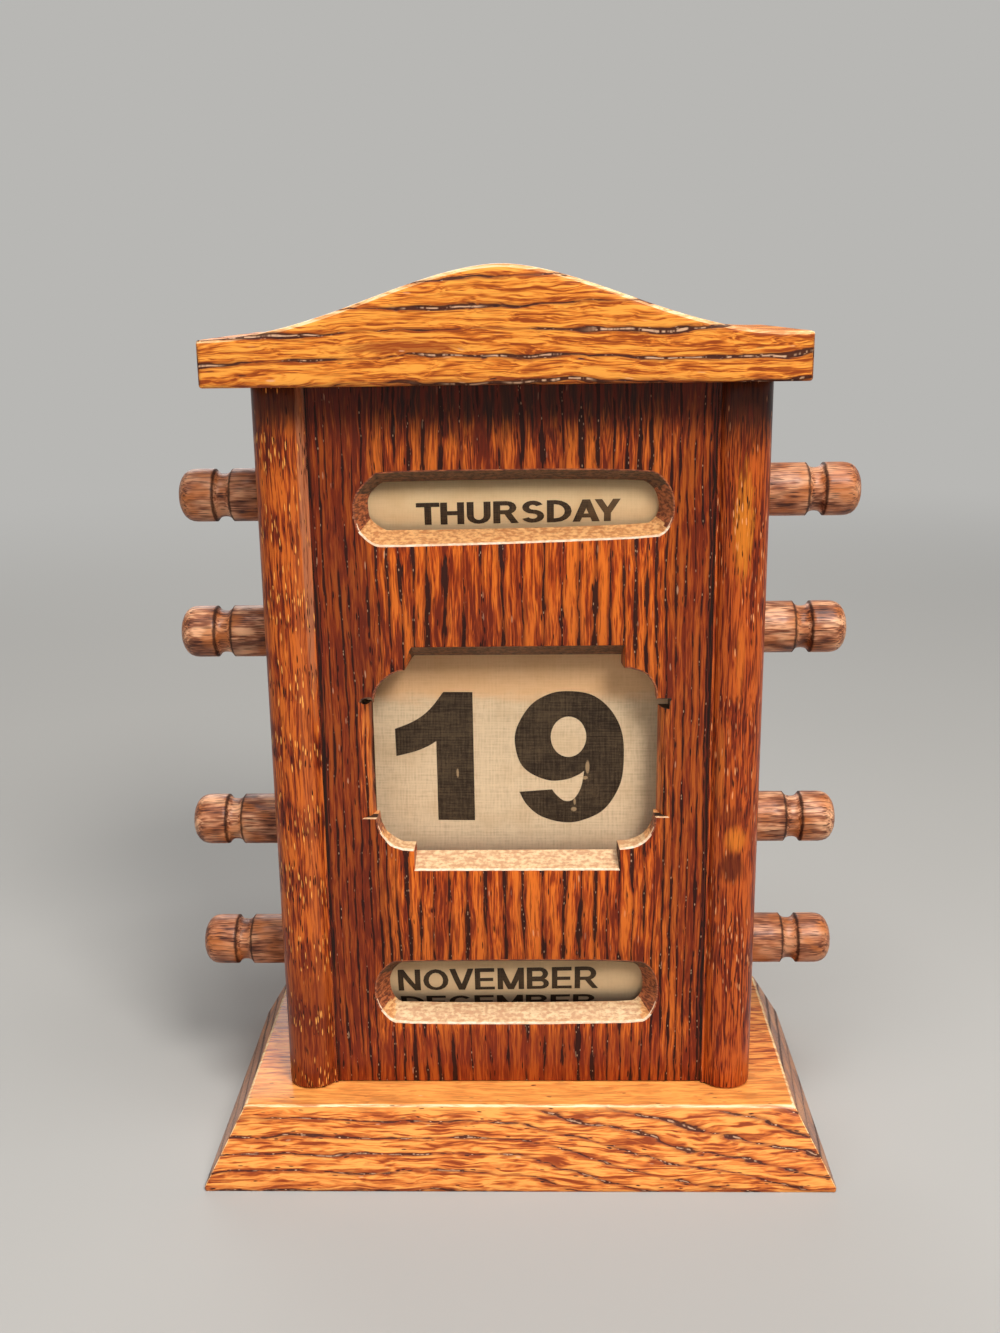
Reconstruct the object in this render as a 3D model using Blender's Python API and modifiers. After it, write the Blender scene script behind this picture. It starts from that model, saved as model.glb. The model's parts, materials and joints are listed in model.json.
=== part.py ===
"""A perpetual desk calendar, built as its maker would build it.

An oak case on a bevelled base carries four dowels, and the turned ends of each are its knobs. The top dowel
turns the weekday drum and the bottom one the month drum. The two between them wind a linen strip of dates
past the middle window.

World axes: +X is the viewer's right, the front faces -Y and +Z is up. The origin lies under the middle of
the base, and every dowel's axis has y = 0.
"""

from math import asin, cos, pi, radians, sin, sqrt

import bmesh
import bpy
from mathutils import Matrix, Vector

MM = 0.001

# Clearances
FIT_GAP = 0.3 * MM
RUNNING_GAP = 0.3 * MM
CUT_OVERRUN = 2.0 * MM
MERGE_DISTANCE = 0.01 * MM

# Base
BASE_HEIGHT = 17.9 * MM
BASE_LAND = 1.2 * MM
BASE_BEVEL_RUN = 9.0 * MM
BASE_SIDE_MARGIN = 9.5 * MM
BASE_FRONT_MARGIN = 6.9 * MM
BASE_EDGE = 0.4 * MM

# Case
CASE_WIDTH = 115.0 * MM
CASE_DEPTH = 53.0 * MM
BOARD_THICKNESS = 12.0 * MM
BOARD_NOSE_FLAT = 0.8 * MM
PANEL_THICKNESS = 5.0 * MM
PANEL_RECESS = 3.6 * MM
GROOVE_DEPTH = 3.0 * MM
BACK_THICKNESS = 5.0 * MM
REBATE_WIDTH = 6.0 * MM

# Roof block
ROOF_OVERHANG = 7.15 * MM
ROOF_LEFT_OVERHANG = 8.75 * MM
ROOF_RIGHT_OVERHANG = 6.25 * MM
ROOF_LEFT_END = 10.2 * MM
ROOF_RIGHT_END = 10.4 * MM
ROOF_CROWN = 24.8 * MM
ROOF_CROWN_OFFSET = -2.0 * MM
ROOF_LEFT_FLAT = 0.2 * MM
ROOF_RIGHT_FLAT = 3.9 * MM
ROOF_EASE_SHARE = 0.88
ROOF_EDGE = 0.7 * MM
ROOF_SWEEP_STEPS = 16

# Dowels and their knobs
DOWEL_RADIUS = 6.35 * MM
KNOB_REACH = 23.9 * MM
KNOB_DOME = 0.5 * MM
KNOB_ROUNDING = 2.2 * MM
KNOB_GROOVE_FROM_TIP = 11.0 * MM
KNOB_GROOVE_WIDTH = 4.0 * MM
KNOB_GROOVE_DEPTH = 1.3 * MM
DAY_DOWEL_SHIFT = 1.1 * MM
UPPER_DOWEL_SHIFT = -0.7 * MM
LOWER_DOWEL_SHIFT = -1.1 * MM
MONTH_DOWEL_SHIFT = -0.7 * MM

# Name drums
DRUM_CLEARANCE = 0.7 * MM
DRUM_END_PLAY = 0.6 * MM
DRUM_CHAMFER = 0.8 * MM
BAND_THICKNESS = 0.4 * MM
BAND_MARGIN = 3.0 * MM
DAY_HEADROOM = 10.0 * MM
MONTH_FLOOR_ROOM = 11.0 * MM

# Linen date scroll
LINEN_THICKNESS = 0.4 * MM
DATE_PITCH = 52.0 * MM
DATES = 31
DATE_AT_REST = 19
DATE_ROLLER_SPACING = 49.4 * MM
ROW_CLEARANCE = 1.0 * MM
COLLAR_RADIUS = 9.5 * MM
COLLAR_THICKNESS = 4.3 * MM
COLLAR_CHAMFER = 0.6 * MM
COLLAR_PLAY = 0.6 * MM
LINEN_WRAP_ANGLE = radians(60)

# Windows
REVEAL_RUN = 2.75 * MM
WINDOW_CORNER = 6.2 * MM
DAY_WINDOW_MARGIN = 9.8 * MM
DAY_WINDOW_HEIGHT = 16.5 * MM
DAY_WINDOW_DROP = 0.35 * MM
MONTH_WINDOW_MARGIN = 11.2 * MM
MONTH_WINDOW_HEIGHT = 16.9 * MM
MONTH_WINDOW_DROP = 3.3 * MM
MONTH_WINDOW_SHIFT = -0.5 * MM
DATE_WINDOW_MARGIN = 12.4 * MM
DATE_WINDOW_HEIGHT = 45.0 * MM
DATE_WINDOW_CORNER = 7.6 * MM
DATE_WINDOW_DROP = 1.7 * MM
DATE_BAY_MARGIN = 20.8 * MM
DATE_BAY_FRONT_DEPTH = 5.2 * MM
DATE_BAY_BACK_DEPTH = 1.9 * MM
DATE_SIDE_BAY_HEIGHT = 28.6 * MM
DATE_SIDE_BAY_FRONT_DEPTH = 3.0 * MM
DATE_SIDE_BAY_BACK_DEPTH = 0.5 * MM
CORNER_LIMIT_SHARE = 0.96

# Screws and pins
SCREW_SINK = 0.5 * MM
SCREW_RIM = 0.3 * MM
SCREW_TIP = 3.0 * MM
SLOT_WIDTH = 0.8 * MM
SLOT_DEPTH = 0.8 * MM
BASE_SCREW_BITE = 12.3 * MM
BASE_SCREW_SHANK_RADIUS = 1.75 * MM
BASE_SCREW_HEAD_RADIUS = 3.5 * MM
BASE_SCREW_HEAD_HEIGHT = 2.0 * MM
BASE_SCREW_SPACING = 28.0 * MM
BACK_SCREW_BITE = 9.2 * MM
BACK_SCREW_SHANK_RADIUS = 1.4 * MM
BACK_SCREW_HEAD_RADIUS = 2.6 * MM
BACK_SCREW_HEAD_HEIGHT = 1.6 * MM
BACK_SCREW_END_DISTANCE = 20.0 * MM
ROOF_PIN_RADIUS = 3.0 * MM
ROOF_PIN_CHAMFER = 0.6 * MM
ROOF_PIN_DROP = 14.0 * MM
ROOF_PIN_COVER = 1.8 * MM
ROOF_PIN_SPACING = 26.0 * MM

# Facets
DOWEL_STEPS = 24
DRUM_STEPS = 40
ROLL_STEPS = 32
SMALL_STEPS = 10
PIN_STEPS = 12
NOSE_SEGMENTS = 6
EDGE_SEGMENTS = 2
EDGE_ANGLE = radians(25)
CORNER_STEPS = 6
GROOVE_STEPS = 4
ROUNDING_STEPS = 3
WRAP_STEPS = 8

# Sizes that follow from those above
BASE_TOP_WIDTH = CASE_WIDTH + 2 * BASE_SIDE_MARGIN
BASE_TOP_DEPTH = CASE_DEPTH + 2 * BASE_FRONT_MARGIN
BASE_WIDTH = BASE_TOP_WIDTH + 2 * BASE_BEVEL_RUN
BASE_DEPTH = BASE_TOP_DEPTH + 2 * BASE_BEVEL_RUN
BOARD_MIDDLE_X = (CASE_WIDTH - BOARD_THICKNESS) / 2
INNER_WIDTH = CASE_WIDTH - 2 * BOARD_THICKNESS
PANEL_FRONT_Y = -CASE_DEPTH / 2 + PANEL_RECESS
PANEL_BACK_Y = PANEL_FRONT_Y + PANEL_THICKNESS
BACK_FRONT_Y = CASE_DEPTH / 2 - BACK_THICKNESS
BORE_RADIUS = DOWEL_RADIUS + RUNNING_GAP
BAND_RADIUS = -PANEL_BACK_Y - DRUM_CLEARANCE
DRUM_RADIUS = BAND_RADIUS - BAND_THICKNESS - FIT_GAP
DRUM_LENGTH = INNER_WIDTH - 2 * DRUM_END_PLAY
BAND_WIDTH = DRUM_LENGTH - 2 * BAND_MARGIN
LINEN_WIDTH = INNER_WIDTH - 2 * (COLLAR_THICKNESS + 2 * COLLAR_PLAY)
DAY_WINDOW_WIDTH = INNER_WIDTH - 2 * DAY_WINDOW_MARGIN
MONTH_WINDOW_WIDTH = INNER_WIDTH - 2 * MONTH_WINDOW_MARGIN
DATE_WINDOW_WIDTH = INNER_WIDTH - 2 * DATE_WINDOW_MARGIN
DATE_BAY_WIDTH = INNER_WIDTH - 2 * DATE_BAY_MARGIN


def roll_radius(date_count):
    """Radius of a dowel with that many dates of linen wound on it."""
    wound_area = date_count * DATE_PITCH * LINEN_THICKNESS
    return sqrt(DOWEL_RADIUS ** 2 + wound_area / pi)


FULL_ROLL_RADIUS = roll_radius(DATES - 1)
UPPER_ROLL_RADIUS = roll_radius(DATE_AT_REST - 1)
LOWER_ROLL_RADIUS = roll_radius(DATES - DATE_AT_REST)
ROW_SPACING = BAND_RADIUS + FULL_ROLL_RADIUS + ROW_CLEARANCE
MONTH_AXIS_Z = BASE_HEIGHT + MONTH_FLOOR_ROOM + BAND_RADIUS
LOWER_AXIS_Z = MONTH_AXIS_Z + ROW_SPACING
UPPER_AXIS_Z = LOWER_AXIS_Z + DATE_ROLLER_SPACING
DAY_AXIS_Z = UPPER_AXIS_Z + ROW_SPACING
CASE_TOP = DAY_AXIS_Z + BAND_RADIUS + DAY_HEADROOM
CASE_HEIGHT = CASE_TOP - BASE_HEIGHT
CASE_MIDDLE = BASE_HEIGHT + CASE_HEIGHT / 2
BOARD_HEIGHT = CASE_HEIGHT - 2 * FIT_GAP
DAY_WINDOW_Z = DAY_AXIS_Z - DAY_WINDOW_DROP
MONTH_WINDOW_Z = MONTH_AXIS_Z - MONTH_WINDOW_DROP
DATE_WINDOW_Z = (UPPER_AXIS_Z + LOWER_AXIS_Z) / 2 - DATE_WINDOW_DROP
ROOF_LEFT_X = -CASE_WIDTH / 2 - ROOF_LEFT_OVERHANG
ROOF_RIGHT_X = CASE_WIDTH / 2 + ROOF_RIGHT_OVERHANG
ROOF_DEPTH = CASE_DEPTH + 2 * ROOF_OVERHANG
ROOF_LEFT_SWEEP = ROOF_CROWN_OFFSET - ROOF_LEFT_X - ROOF_LEFT_FLAT
ROOF_RIGHT_SWEEP = ROOF_RIGHT_X - ROOF_CROWN_OFFSET - ROOF_RIGHT_FLAT


def start_scene():
    """Empty the scene and return the collections of the pieces and of the cutters."""
    for leftover in list(bpy.data.objects):
        bpy.data.objects.remove(leftover)
    made = []
    for name in ("perpetual_desk_calendar", "cutters"):
        collection = bpy.data.collections.new(name)
        bpy.context.scene.collection.children.link(collection)
        made.append(collection)
    return made


PIECES, CUTTERS = start_scene()


def material(name, color, roughness, metallic=0.0):
    """A plain Principled material."""
    made = bpy.data.materials.new(name)
    made.use_nodes = True
    shader = made.node_tree.nodes["Principled BSDF"]
    shader.inputs["Base Color"].default_value = (*color, 1.0)
    shader.inputs["Roughness"].default_value = roughness
    shader.inputs["Metallic"].default_value = metallic
    return made


def golden_oak(name):
    """Varnished oak of the base and roof."""
    return material(name, (0.55, 0.20, 0.045), 0.35)


def red_oak(name):
    """Stained oak of the case."""
    return material(name, (0.26, 0.055, 0.012), 0.35)


def bare_wood(name):
    """Unstained wood inside the case."""
    return material(name, (0.55, 0.36, 0.19), 0.7)


def knob_wood(name):
    """Dull pinkish brown dowel."""
    return material(name, (0.30, 0.11, 0.055), 0.5)


def linen_cloth(name):
    """Unbleached linen."""
    return material(name, (0.58, 0.46, 0.29), 0.9)


def brass(name):
    """Dull brass of the screws."""
    return material(name, (0.60, 0.42, 0.15), 0.35, 1.0)


def add_object(name, data, finish=None):
    """Link data as a piece, or as a hidden cutter where it has no finish."""
    obj = bpy.data.objects.new(name, data)
    if finish is None:
        obj.hide_render = True
        obj.display_type = "WIRE"
        CUTTERS.objects.link(obj)
    else:
        data.materials.append(finish(name))
        PIECES.objects.link(obj)
    return obj


def mesh_from(name, bm):
    """Turn a bmesh into a mesh whose faces point outwards."""
    bmesh.ops.recalc_face_normals(bm, faces=bm.faces)
    mesh = bpy.data.meshes.new(name)
    bm.to_mesh(mesh)
    bm.free()
    return mesh


def block(name, size, centre, finish=None):
    """A box of that size."""
    bm = bmesh.new()
    bmesh.ops.create_cube(bm, size=1, matrix=Matrix.Diagonal((*size, 1)))
    obj = add_object(name, mesh_from(name, bm), finish)
    obj.location = centre
    return obj


def turned(name, profile, steps, finish=None, tube=False):
    """Turn (radius, height) pairs, listed top to bottom on the outer side, about Z."""
    mesh = bpy.data.meshes.new(name)
    edges = [(index, index + 1) for index in range(len(profile) - 1)]
    if tube:
        edges.append((len(profile) - 1, 0))
    mesh.from_pydata([(radius, 0, height) for radius, height in profile], edges, [])
    obj = add_object(name, mesh, finish)
    screw = obj.modifiers.new("turning", "SCREW")
    screw.axis = "Z"
    screw.angle = 2 * pi
    screw.steps = steps
    screw.render_steps = steps
    screw.use_merge_vertices = True
    screw.merge_threshold = MERGE_DISTANCE
    screw.use_smooth_shade = True
    return obj


def loft(name, sections, finish=None):
    """A solid through sections of equally many points."""
    bm = bmesh.new()
    rings = [[bm.verts.new(point) for point in section] for section in sections]
    for near, far in zip(rings, rings[1:]):
        for index in range(len(near)):
            after = (index + 1) % len(near)
            bm.faces.new((near[index], near[after], far[after], far[index]))
    bm.faces.new(rings[0])
    bm.faces.new(rings[-1])
    return add_object(name, mesh_from(name, bm), finish)


def cut(piece, *cutters):
    """Take the cutters out of a piece."""
    for cutter in cutters:
        boolean = piece.modifiers.new(cutter.name, "BOOLEAN")
        boolean.operation = "DIFFERENCE"
        boolean.solver = "EXACT"
        boolean.object = cutter


def soften(piece, width):
    """Round a piece's edges a little."""
    bevel = piece.modifiers.new("soft edges", "BEVEL")
    bevel.width = width
    bevel.segments = EDGE_SEGMENTS
    bevel.limit_method = "ANGLE"
    bevel.angle_limit = EDGE_ANGLE


def rectangle(width, height):
    """Corners of a rectangle about the middle."""
    return [(side * width / 2, end * height / 2) for side, end in ((1, 1), (-1, 1), (-1, -1), (1, -1))]


def rounded_rectangle(width, height, corner):
    """Points of a rectangle with round corners, about the middle."""
    corner = min(corner, CORNER_LIMIT_SHARE * height / 2)
    points = []
    for quarter, (x, z) in enumerate(rectangle(width - 2 * corner, height - 2 * corner)):
        for step in range(CORNER_STEPS + 1):
            angle = (quarter + step / CORNER_STEPS) * pi / 2
            points.append((x + corner * cos(angle), z + corner * sin(angle)))
    return points


# Case


def base_plinth():
    """One board with bevelled edges over a small upright land."""
    bm = bmesh.new()
    size = Matrix.Diagonal((BASE_WIDTH, BASE_DEPTH, BASE_HEIGHT, 1))
    bmesh.ops.create_cube(bm, size=1, matrix=Matrix.Translation((0, 0, BASE_HEIGHT / 2)) @ size)
    everything = bm.verts[:] + bm.edges[:] + bm.faces[:]
    bmesh.ops.bisect_plane(bm, geom=everything, plane_co=(0, 0, BASE_LAND), plane_no=(0, 0, 1))
    upper = [vert for vert in bm.verts if vert.co.z > BASE_HEIGHT / 2]
    shrink = (BASE_TOP_WIDTH / BASE_WIDTH, BASE_TOP_DEPTH / BASE_DEPTH, 1)
    bmesh.ops.scale(bm, vec=shrink, verts=upper)
    piece = add_object("base_plinth", mesh_from("base_plinth", bm), golden_oak)
    soften(piece, BASE_EDGE)
    return piece


def side_board(name, side):
    """A side board with a rounded front edge, a groove for the panel and a rebate for the back."""
    bm = bmesh.new()
    size = Matrix.Diagonal((BOARD_THICKNESS, CASE_DEPTH, BOARD_HEIGHT, 1))
    bmesh.ops.create_cube(bm, size=1, matrix=size)
    nose_radius = (BOARD_THICKNESS - BOARD_NOSE_FLAT) / 2
    front_edges = [edge for edge in bm.edges if all(vert.co.y < 0 for vert in edge.verts)
                   and edge.verts[0].co.x * edge.verts[1].co.x > 0]
    bmesh.ops.bevel(bm, geom=front_edges, offset=nose_radius, segments=NOSE_SEGMENTS, profile=0.5,
                    affect="EDGES")
    piece = add_object(name, mesh_from(name, bm), red_oak)
    piece.location = (side * BOARD_MIDDLE_X, 0, CASE_MIDDLE)

    inner_face = INNER_WIDTH / 2
    cut_height = BOARD_HEIGHT + 2 * CUT_OVERRUN
    groove_width = GROOVE_DEPTH + FIT_GAP + CUT_OVERRUN
    groove_x = inner_face - CUT_OVERRUN + groove_width / 2
    groove = block(name + "_groove", (groove_width, PANEL_THICKNESS + 2 * FIT_GAP, cut_height),
                   (side * groove_x, (PANEL_FRONT_Y + PANEL_BACK_Y) / 2, CASE_MIDDLE))
    rebate_width = REBATE_WIDTH + CUT_OVERRUN
    rebate_depth = BACK_THICKNESS + FIT_GAP + CUT_OVERRUN
    rebate_x = inner_face - CUT_OVERRUN + rebate_width / 2
    rebate_y = BACK_FRONT_Y - FIT_GAP + rebate_depth / 2
    rebate = block(name + "_rebate", (rebate_width, rebate_depth, cut_height),
                   (side * rebate_x, rebate_y, CASE_MIDDLE))
    cut(piece, groove, rebate)
    return piece


def window_cutter(name, middle, front_outline, back_outline):
    """A window whose outline changes from the panel's front face to its back face."""
    depths = ((PANEL_FRONT_Y - CUT_OVERRUN, front_outline), (PANEL_FRONT_Y, front_outline),
              (PANEL_BACK_Y, back_outline), (PANEL_BACK_Y + CUT_OVERRUN, back_outline))
    centre = Vector(middle)
    sections = [[centre + Vector((x, y, z)) for x, z in outline] for y, outline in depths]
    return loft(name, sections)


def slot_window(name, middle, width, height):
    """A long window with rounded ends and splayed edges."""
    front = rounded_rectangle(width, height, WINDOW_CORNER)
    back = rounded_rectangle(width - 2 * REVEAL_RUN, height - 2 * REVEAL_RUN, WINDOW_CORNER)
    return window_cutter(name, middle, front, back)


def front_panel():
    """The panel with its weekday, date and month windows."""
    width = INNER_WIDTH + 2 * (GROOVE_DEPTH - FIT_GAP)
    piece = block("front_panel", (width, PANEL_THICKNESS, BOARD_HEIGHT),
                  (0, (PANEL_FRONT_Y + PANEL_BACK_Y) / 2, CASE_MIDDLE), red_oak)
    day = slot_window("day_window", (0, 0, DAY_WINDOW_Z), DAY_WINDOW_WIDTH, DAY_WINDOW_HEIGHT)
    month = slot_window("month_window", (MONTH_WINDOW_SHIFT, 0, MONTH_WINDOW_Z), MONTH_WINDOW_WIDTH,
                        MONTH_WINDOW_HEIGHT)
    middle = (0, 0, DATE_WINDOW_Z)
    opening = rounded_rectangle(DATE_WINDOW_WIDTH, DATE_WINDOW_HEIGHT, DATE_WINDOW_CORNER)
    date = window_cutter("date_window", middle, opening, opening)
    bays = window_cutter("date_window_bays", middle,
                         rectangle(DATE_BAY_WIDTH, DATE_WINDOW_HEIGHT + 2 * DATE_BAY_FRONT_DEPTH),
                         rectangle(DATE_BAY_WIDTH, DATE_WINDOW_HEIGHT + 2 * DATE_BAY_BACK_DEPTH))
    side_bays_front = rectangle(DATE_WINDOW_WIDTH + 2 * DATE_SIDE_BAY_FRONT_DEPTH, DATE_SIDE_BAY_HEIGHT)
    side_bays_back = rectangle(DATE_WINDOW_WIDTH + 2 * DATE_SIDE_BAY_BACK_DEPTH, DATE_SIDE_BAY_HEIGHT)
    side_bays = window_cutter("date_window_side_bays", middle, side_bays_front, side_bays_back)
    cut(piece, day, date, bays, side_bays, month)
    return piece


def back_panel():
    """The board that closes the case, flush in the side boards' rebates."""
    width = INNER_WIDTH + 2 * (REBATE_WIDTH - FIT_GAP)
    return block("back_panel", (width, BACK_THICKNESS, BOARD_HEIGHT),
                 (0, (CASE_DEPTH - BACK_THICKNESS) / 2, CASE_MIDDLE), red_oak)


def roof_height(x):
    """Thickness of the roof block at x: a raised cosine between its crown and its two ends."""
    if x < ROOF_CROWN_OFFSET:
        end, sweep = ROOF_LEFT_END, ROOF_LEFT_SWEEP
    else:
        end, sweep = ROOF_RIGHT_END, ROOF_RIGHT_SWEEP
    phase = min(abs(x - ROOF_CROWN_OFFSET) / sweep, 1) ** ROOF_EASE_SHARE
    return end + (ROOF_CROWN - end) * (1 + cos(pi * phase)) / 2


def roof_crest():
    """The solid roof block with its serpentine top."""
    shares = [step / ROOF_SWEEP_STEPS for step in range(ROOF_SWEEP_STEPS + 1)]
    top = [ROOF_RIGHT_X]
    top += [ROOF_CROWN_OFFSET + ROOF_RIGHT_SWEEP * share for share in reversed(shares)]
    top += [ROOF_CROWN_OFFSET - ROOF_LEFT_SWEEP * share for share in shares[1:]]
    top += [ROOF_LEFT_X]
    outline = [(ROOF_LEFT_X, 0), (ROOF_RIGHT_X, 0)] + [(x, roof_height(x)) for x in top]

    curve = bpy.data.curves.new("roof_outline", "CURVE")
    curve.dimensions = "2D"
    curve.fill_mode = "BOTH"
    curve.extrude = ROOF_DEPTH / 2
    spline = curve.splines.new("POLY")
    spline.points.add(len(outline) - 1)
    for point, (x, z) in zip(spline.points, outline):
        point.co = (x, z, 0, 1)
    spline.use_cyclic_u = True
    guide = bpy.data.objects.new("roof_outline", curve)
    CUTTERS.objects.link(guide)
    guide.rotation_euler = (pi / 2, 0, 0)
    bpy.context.view_layer.update()
    evaluated = guide.evaluated_get(bpy.context.evaluated_depsgraph_get())
    bm = bmesh.new()
    bm.from_mesh(bpy.data.meshes.new_from_object(evaluated))
    bmesh.ops.remove_doubles(bm, verts=bm.verts, dist=MERGE_DISTANCE)
    bmesh.ops.transform(bm, matrix=guide.matrix_world, verts=bm.verts)
    bpy.data.objects.remove(guide)
    piece = add_object("roof_crest", mesh_from("roof_crest", bm), golden_oak)
    piece.location = (0, 0, CASE_TOP)
    soften(piece, ROOF_EDGE)
    return piece


# Fastenings


def screw_profile(length, shank_radius, head_radius, head_height):
    """Half outline of a countersunk screw from its head face down."""
    return [(0, 0), (head_radius, 0), (head_radius, -SCREW_RIM), (shank_radius, -head_height),
            (shank_radius, -(length - SCREW_TIP)), (0, -length)]


def screw_hole_profile(length, shank_radius, head_radius, head_height):
    """Half outline of the hole that such a screw needs, open past its head."""
    top = SCREW_SINK + CUT_OVERRUN
    head_radius += FIT_GAP
    shank_radius += FIT_GAP
    end = -length - FIT_GAP
    return [(0, top), (head_radius, top), (head_radius, -SCREW_RIM), (shank_radius, -head_height),
            (shank_radius, end), (0, end)]


def countersunk_screw(name, place, rotation, length, shank_radius, head_radius, head_height, held):
    """A slotted screw whose head face lies at a place, and its hole in each piece that it holds."""
    sizes = (length, shank_radius, head_radius, head_height)
    screw = turned(name, screw_profile(*sizes), SMALL_STEPS, brass)
    slot = block(name + "_slot", (2 * head_radius + CUT_OVERRUN, SLOT_WIDTH, 2 * SLOT_DEPTH), (0, 0, 0))
    hole = turned(name + "_hole", screw_hole_profile(*sizes), SMALL_STEPS)
    for obj in (screw, slot, hole):
        obj.location = place
        obj.rotation_euler = rotation
    cut(screw, slot)
    for piece in held:
        cut(piece, hole)


def base_screws(base, boards):
    """Four screws up through the base into the side boards."""
    length = BASE_HEIGHT - SCREW_SINK + FIT_GAP + BASE_SCREW_BITE
    for side, board in boards.items():
        for end, end_name in ((-1, "front"), (1, "rear")):
            side_name = "left" if side < 0 else "right"
            countersunk_screw(f"base_screw_{end_name}_{side_name}",
                              (side * BOARD_MIDDLE_X, end * BASE_SCREW_SPACING / 2, SCREW_SINK), (pi, 0, 0),
                              length, BASE_SCREW_SHANK_RADIUS, BASE_SCREW_HEAD_RADIUS,
                              BASE_SCREW_HEAD_HEIGHT, (base, board))


def back_screws(back, boards):
    """Four screws through the back panel's corners into the side boards."""
    length = BACK_THICKNESS - SCREW_SINK + FIT_GAP + BACK_SCREW_BITE
    for side, board in boards.items():
        for end, end_name in ((-1, "lower"), (1, "upper")):
            side_name = "left" if side < 0 else "right"
            z = CASE_MIDDLE + end * (CASE_HEIGHT / 2 - BACK_SCREW_END_DISTANCE)
            countersunk_screw(f"back_screw_{end_name}_{side_name}",
                              (side * (INNER_WIDTH + REBATE_WIDTH) / 2, CASE_DEPTH / 2 - SCREW_SINK, z),
                              (-pi / 2, 0, 0), length, BACK_SCREW_SHANK_RADIUS, BACK_SCREW_HEAD_RADIUS,
                              BACK_SCREW_HEAD_HEIGHT, (back, board))


def pin_profile(radius, length, chamfer):
    """Half outline of a pin with chamfered ends, about its middle."""
    half = length / 2
    return [(0, half), (radius - chamfer, half), (radius, half - chamfer), (radius, chamfer - half),
            (radius - chamfer, -half), (0, -half)]


def roof_pins(roof, boards):
    """Four wooden pins between the side boards and the roof block."""
    rise = min(ROOF_LEFT_END, ROOF_RIGHT_END) - ROOF_PIN_COVER
    length = rise + ROOF_PIN_DROP
    for side, board in boards.items():
        for end, end_name in ((-1, "front"), (1, "rear")):
            side_name = "left" if side < 0 else "right"
            name = f"roof_pin_{end_name}_{side_name}"
            place = (side * BOARD_MIDDLE_X, end * ROOF_PIN_SPACING / 2, CASE_TOP + rise - length / 2)
            pin = turned(name, pin_profile(ROOF_PIN_RADIUS, length, ROOF_PIN_CHAMFER), PIN_STEPS, bare_wood)
            hole = turned(name + "_hole", pin_profile(ROOF_PIN_RADIUS + FIT_GAP, length + 2 * FIT_GAP, 0),
                          PIN_STEPS)
            for obj in (pin, hole):
                obj.location = place
            cut(roof, hole)
            cut(board, hole)


# Turning rows


def row_axis(name, z, boards):
    """An empty on a dowel's axis, with the holes that the dowel needs in the side boards."""
    axis = bpy.data.objects.new(name, None)
    axis.location = (0, 0, z)
    PIECES.objects.link(axis)
    half = CASE_WIDTH / 2 + CUT_OVERRUN
    bore = turned(name + "_bore", [(0, half), (BORE_RADIUS, half), (BORE_RADIUS, -half), (0, -half)],
                  DOWEL_STEPS)
    put_on_axis(bore, axis)
    for board in boards.values():
        cut(board, bore)
    return axis


def put_on_axis(piece, axis, shift=0):
    """Lay a turned piece along a row's axis."""
    piece.parent = axis
    piece.location = (shift, 0, 0)
    piece.rotation_euler = (0, pi / 2, 0)


def knob_profile(half_length):
    """Half outline of one knob from its tip towards the case."""
    corner_z = half_length - KNOB_DOME - KNOB_ROUNDING
    corner_r = DOWEL_RADIUS - KNOB_ROUNDING
    points = [(0, half_length)]
    for step in range(ROUNDING_STEPS + 1):
        angle = pi / 2 * step / ROUNDING_STEPS
        points.append((corner_r + KNOB_ROUNDING * sin(angle), corner_z + KNOB_ROUNDING * cos(angle)))
    for step in range(GROOVE_STEPS + 1):
        across = 2 * step / GROOVE_STEPS - 1
        depth = KNOB_GROOVE_DEPTH * (1 - across ** 2)
        groove_z = half_length - KNOB_GROOVE_FROM_TIP - across * KNOB_GROOVE_WIDTH / 2
        points.append((DOWEL_RADIUS - depth, groove_z))
    return points


def knob_dowel(name, axis, shift):
    """A dowel through the whole case, with a knob turned at both ends."""
    half_length = CASE_WIDTH / 2 + KNOB_REACH
    knob = knob_profile(half_length)
    profile = knob + [(radius, -height) for radius, height in reversed(knob)]
    piece = turned(name, profile, DOWEL_STEPS, knob_wood)
    put_on_axis(piece, axis, shift)


def sleeve(name, axis, outer_radius, inner_radius, length, chamfer, steps, finish, shift=0):
    """A turned tube along a row's axis, its outer ends chamfered."""
    half = length / 2
    if chamfer:
        outer = [(outer_radius - chamfer, half), (outer_radius, half - chamfer),
                 (outer_radius, chamfer - half), (outer_radius - chamfer, -half)]
    else:
        outer = [(outer_radius, half), (outer_radius, -half)]
    profile = outer + [(inner_radius, -half), (inner_radius, half)]
    piece = turned(name, profile, steps, finish, tube=True)
    put_on_axis(piece, axis, shift)


def name_drum(row, axis_z, shift, boards):
    """A row that turns names past a window: dowel, drum and printed band."""
    axis = row_axis(row + "_axis", axis_z, boards)
    knob_dowel(row + "_dowel", axis, shift)
    sleeve(row + "_drum", axis, DRUM_RADIUS, BORE_RADIUS, DRUM_LENGTH, DRUM_CHAMFER, DRUM_STEPS, bare_wood)
    band_inner_radius = DRUM_RADIUS + FIT_GAP
    sleeve(row + "_name_band", axis, BAND_RADIUS, band_inner_radius, BAND_WIDTH, 0, DRUM_STEPS, linen_cloth)


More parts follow.
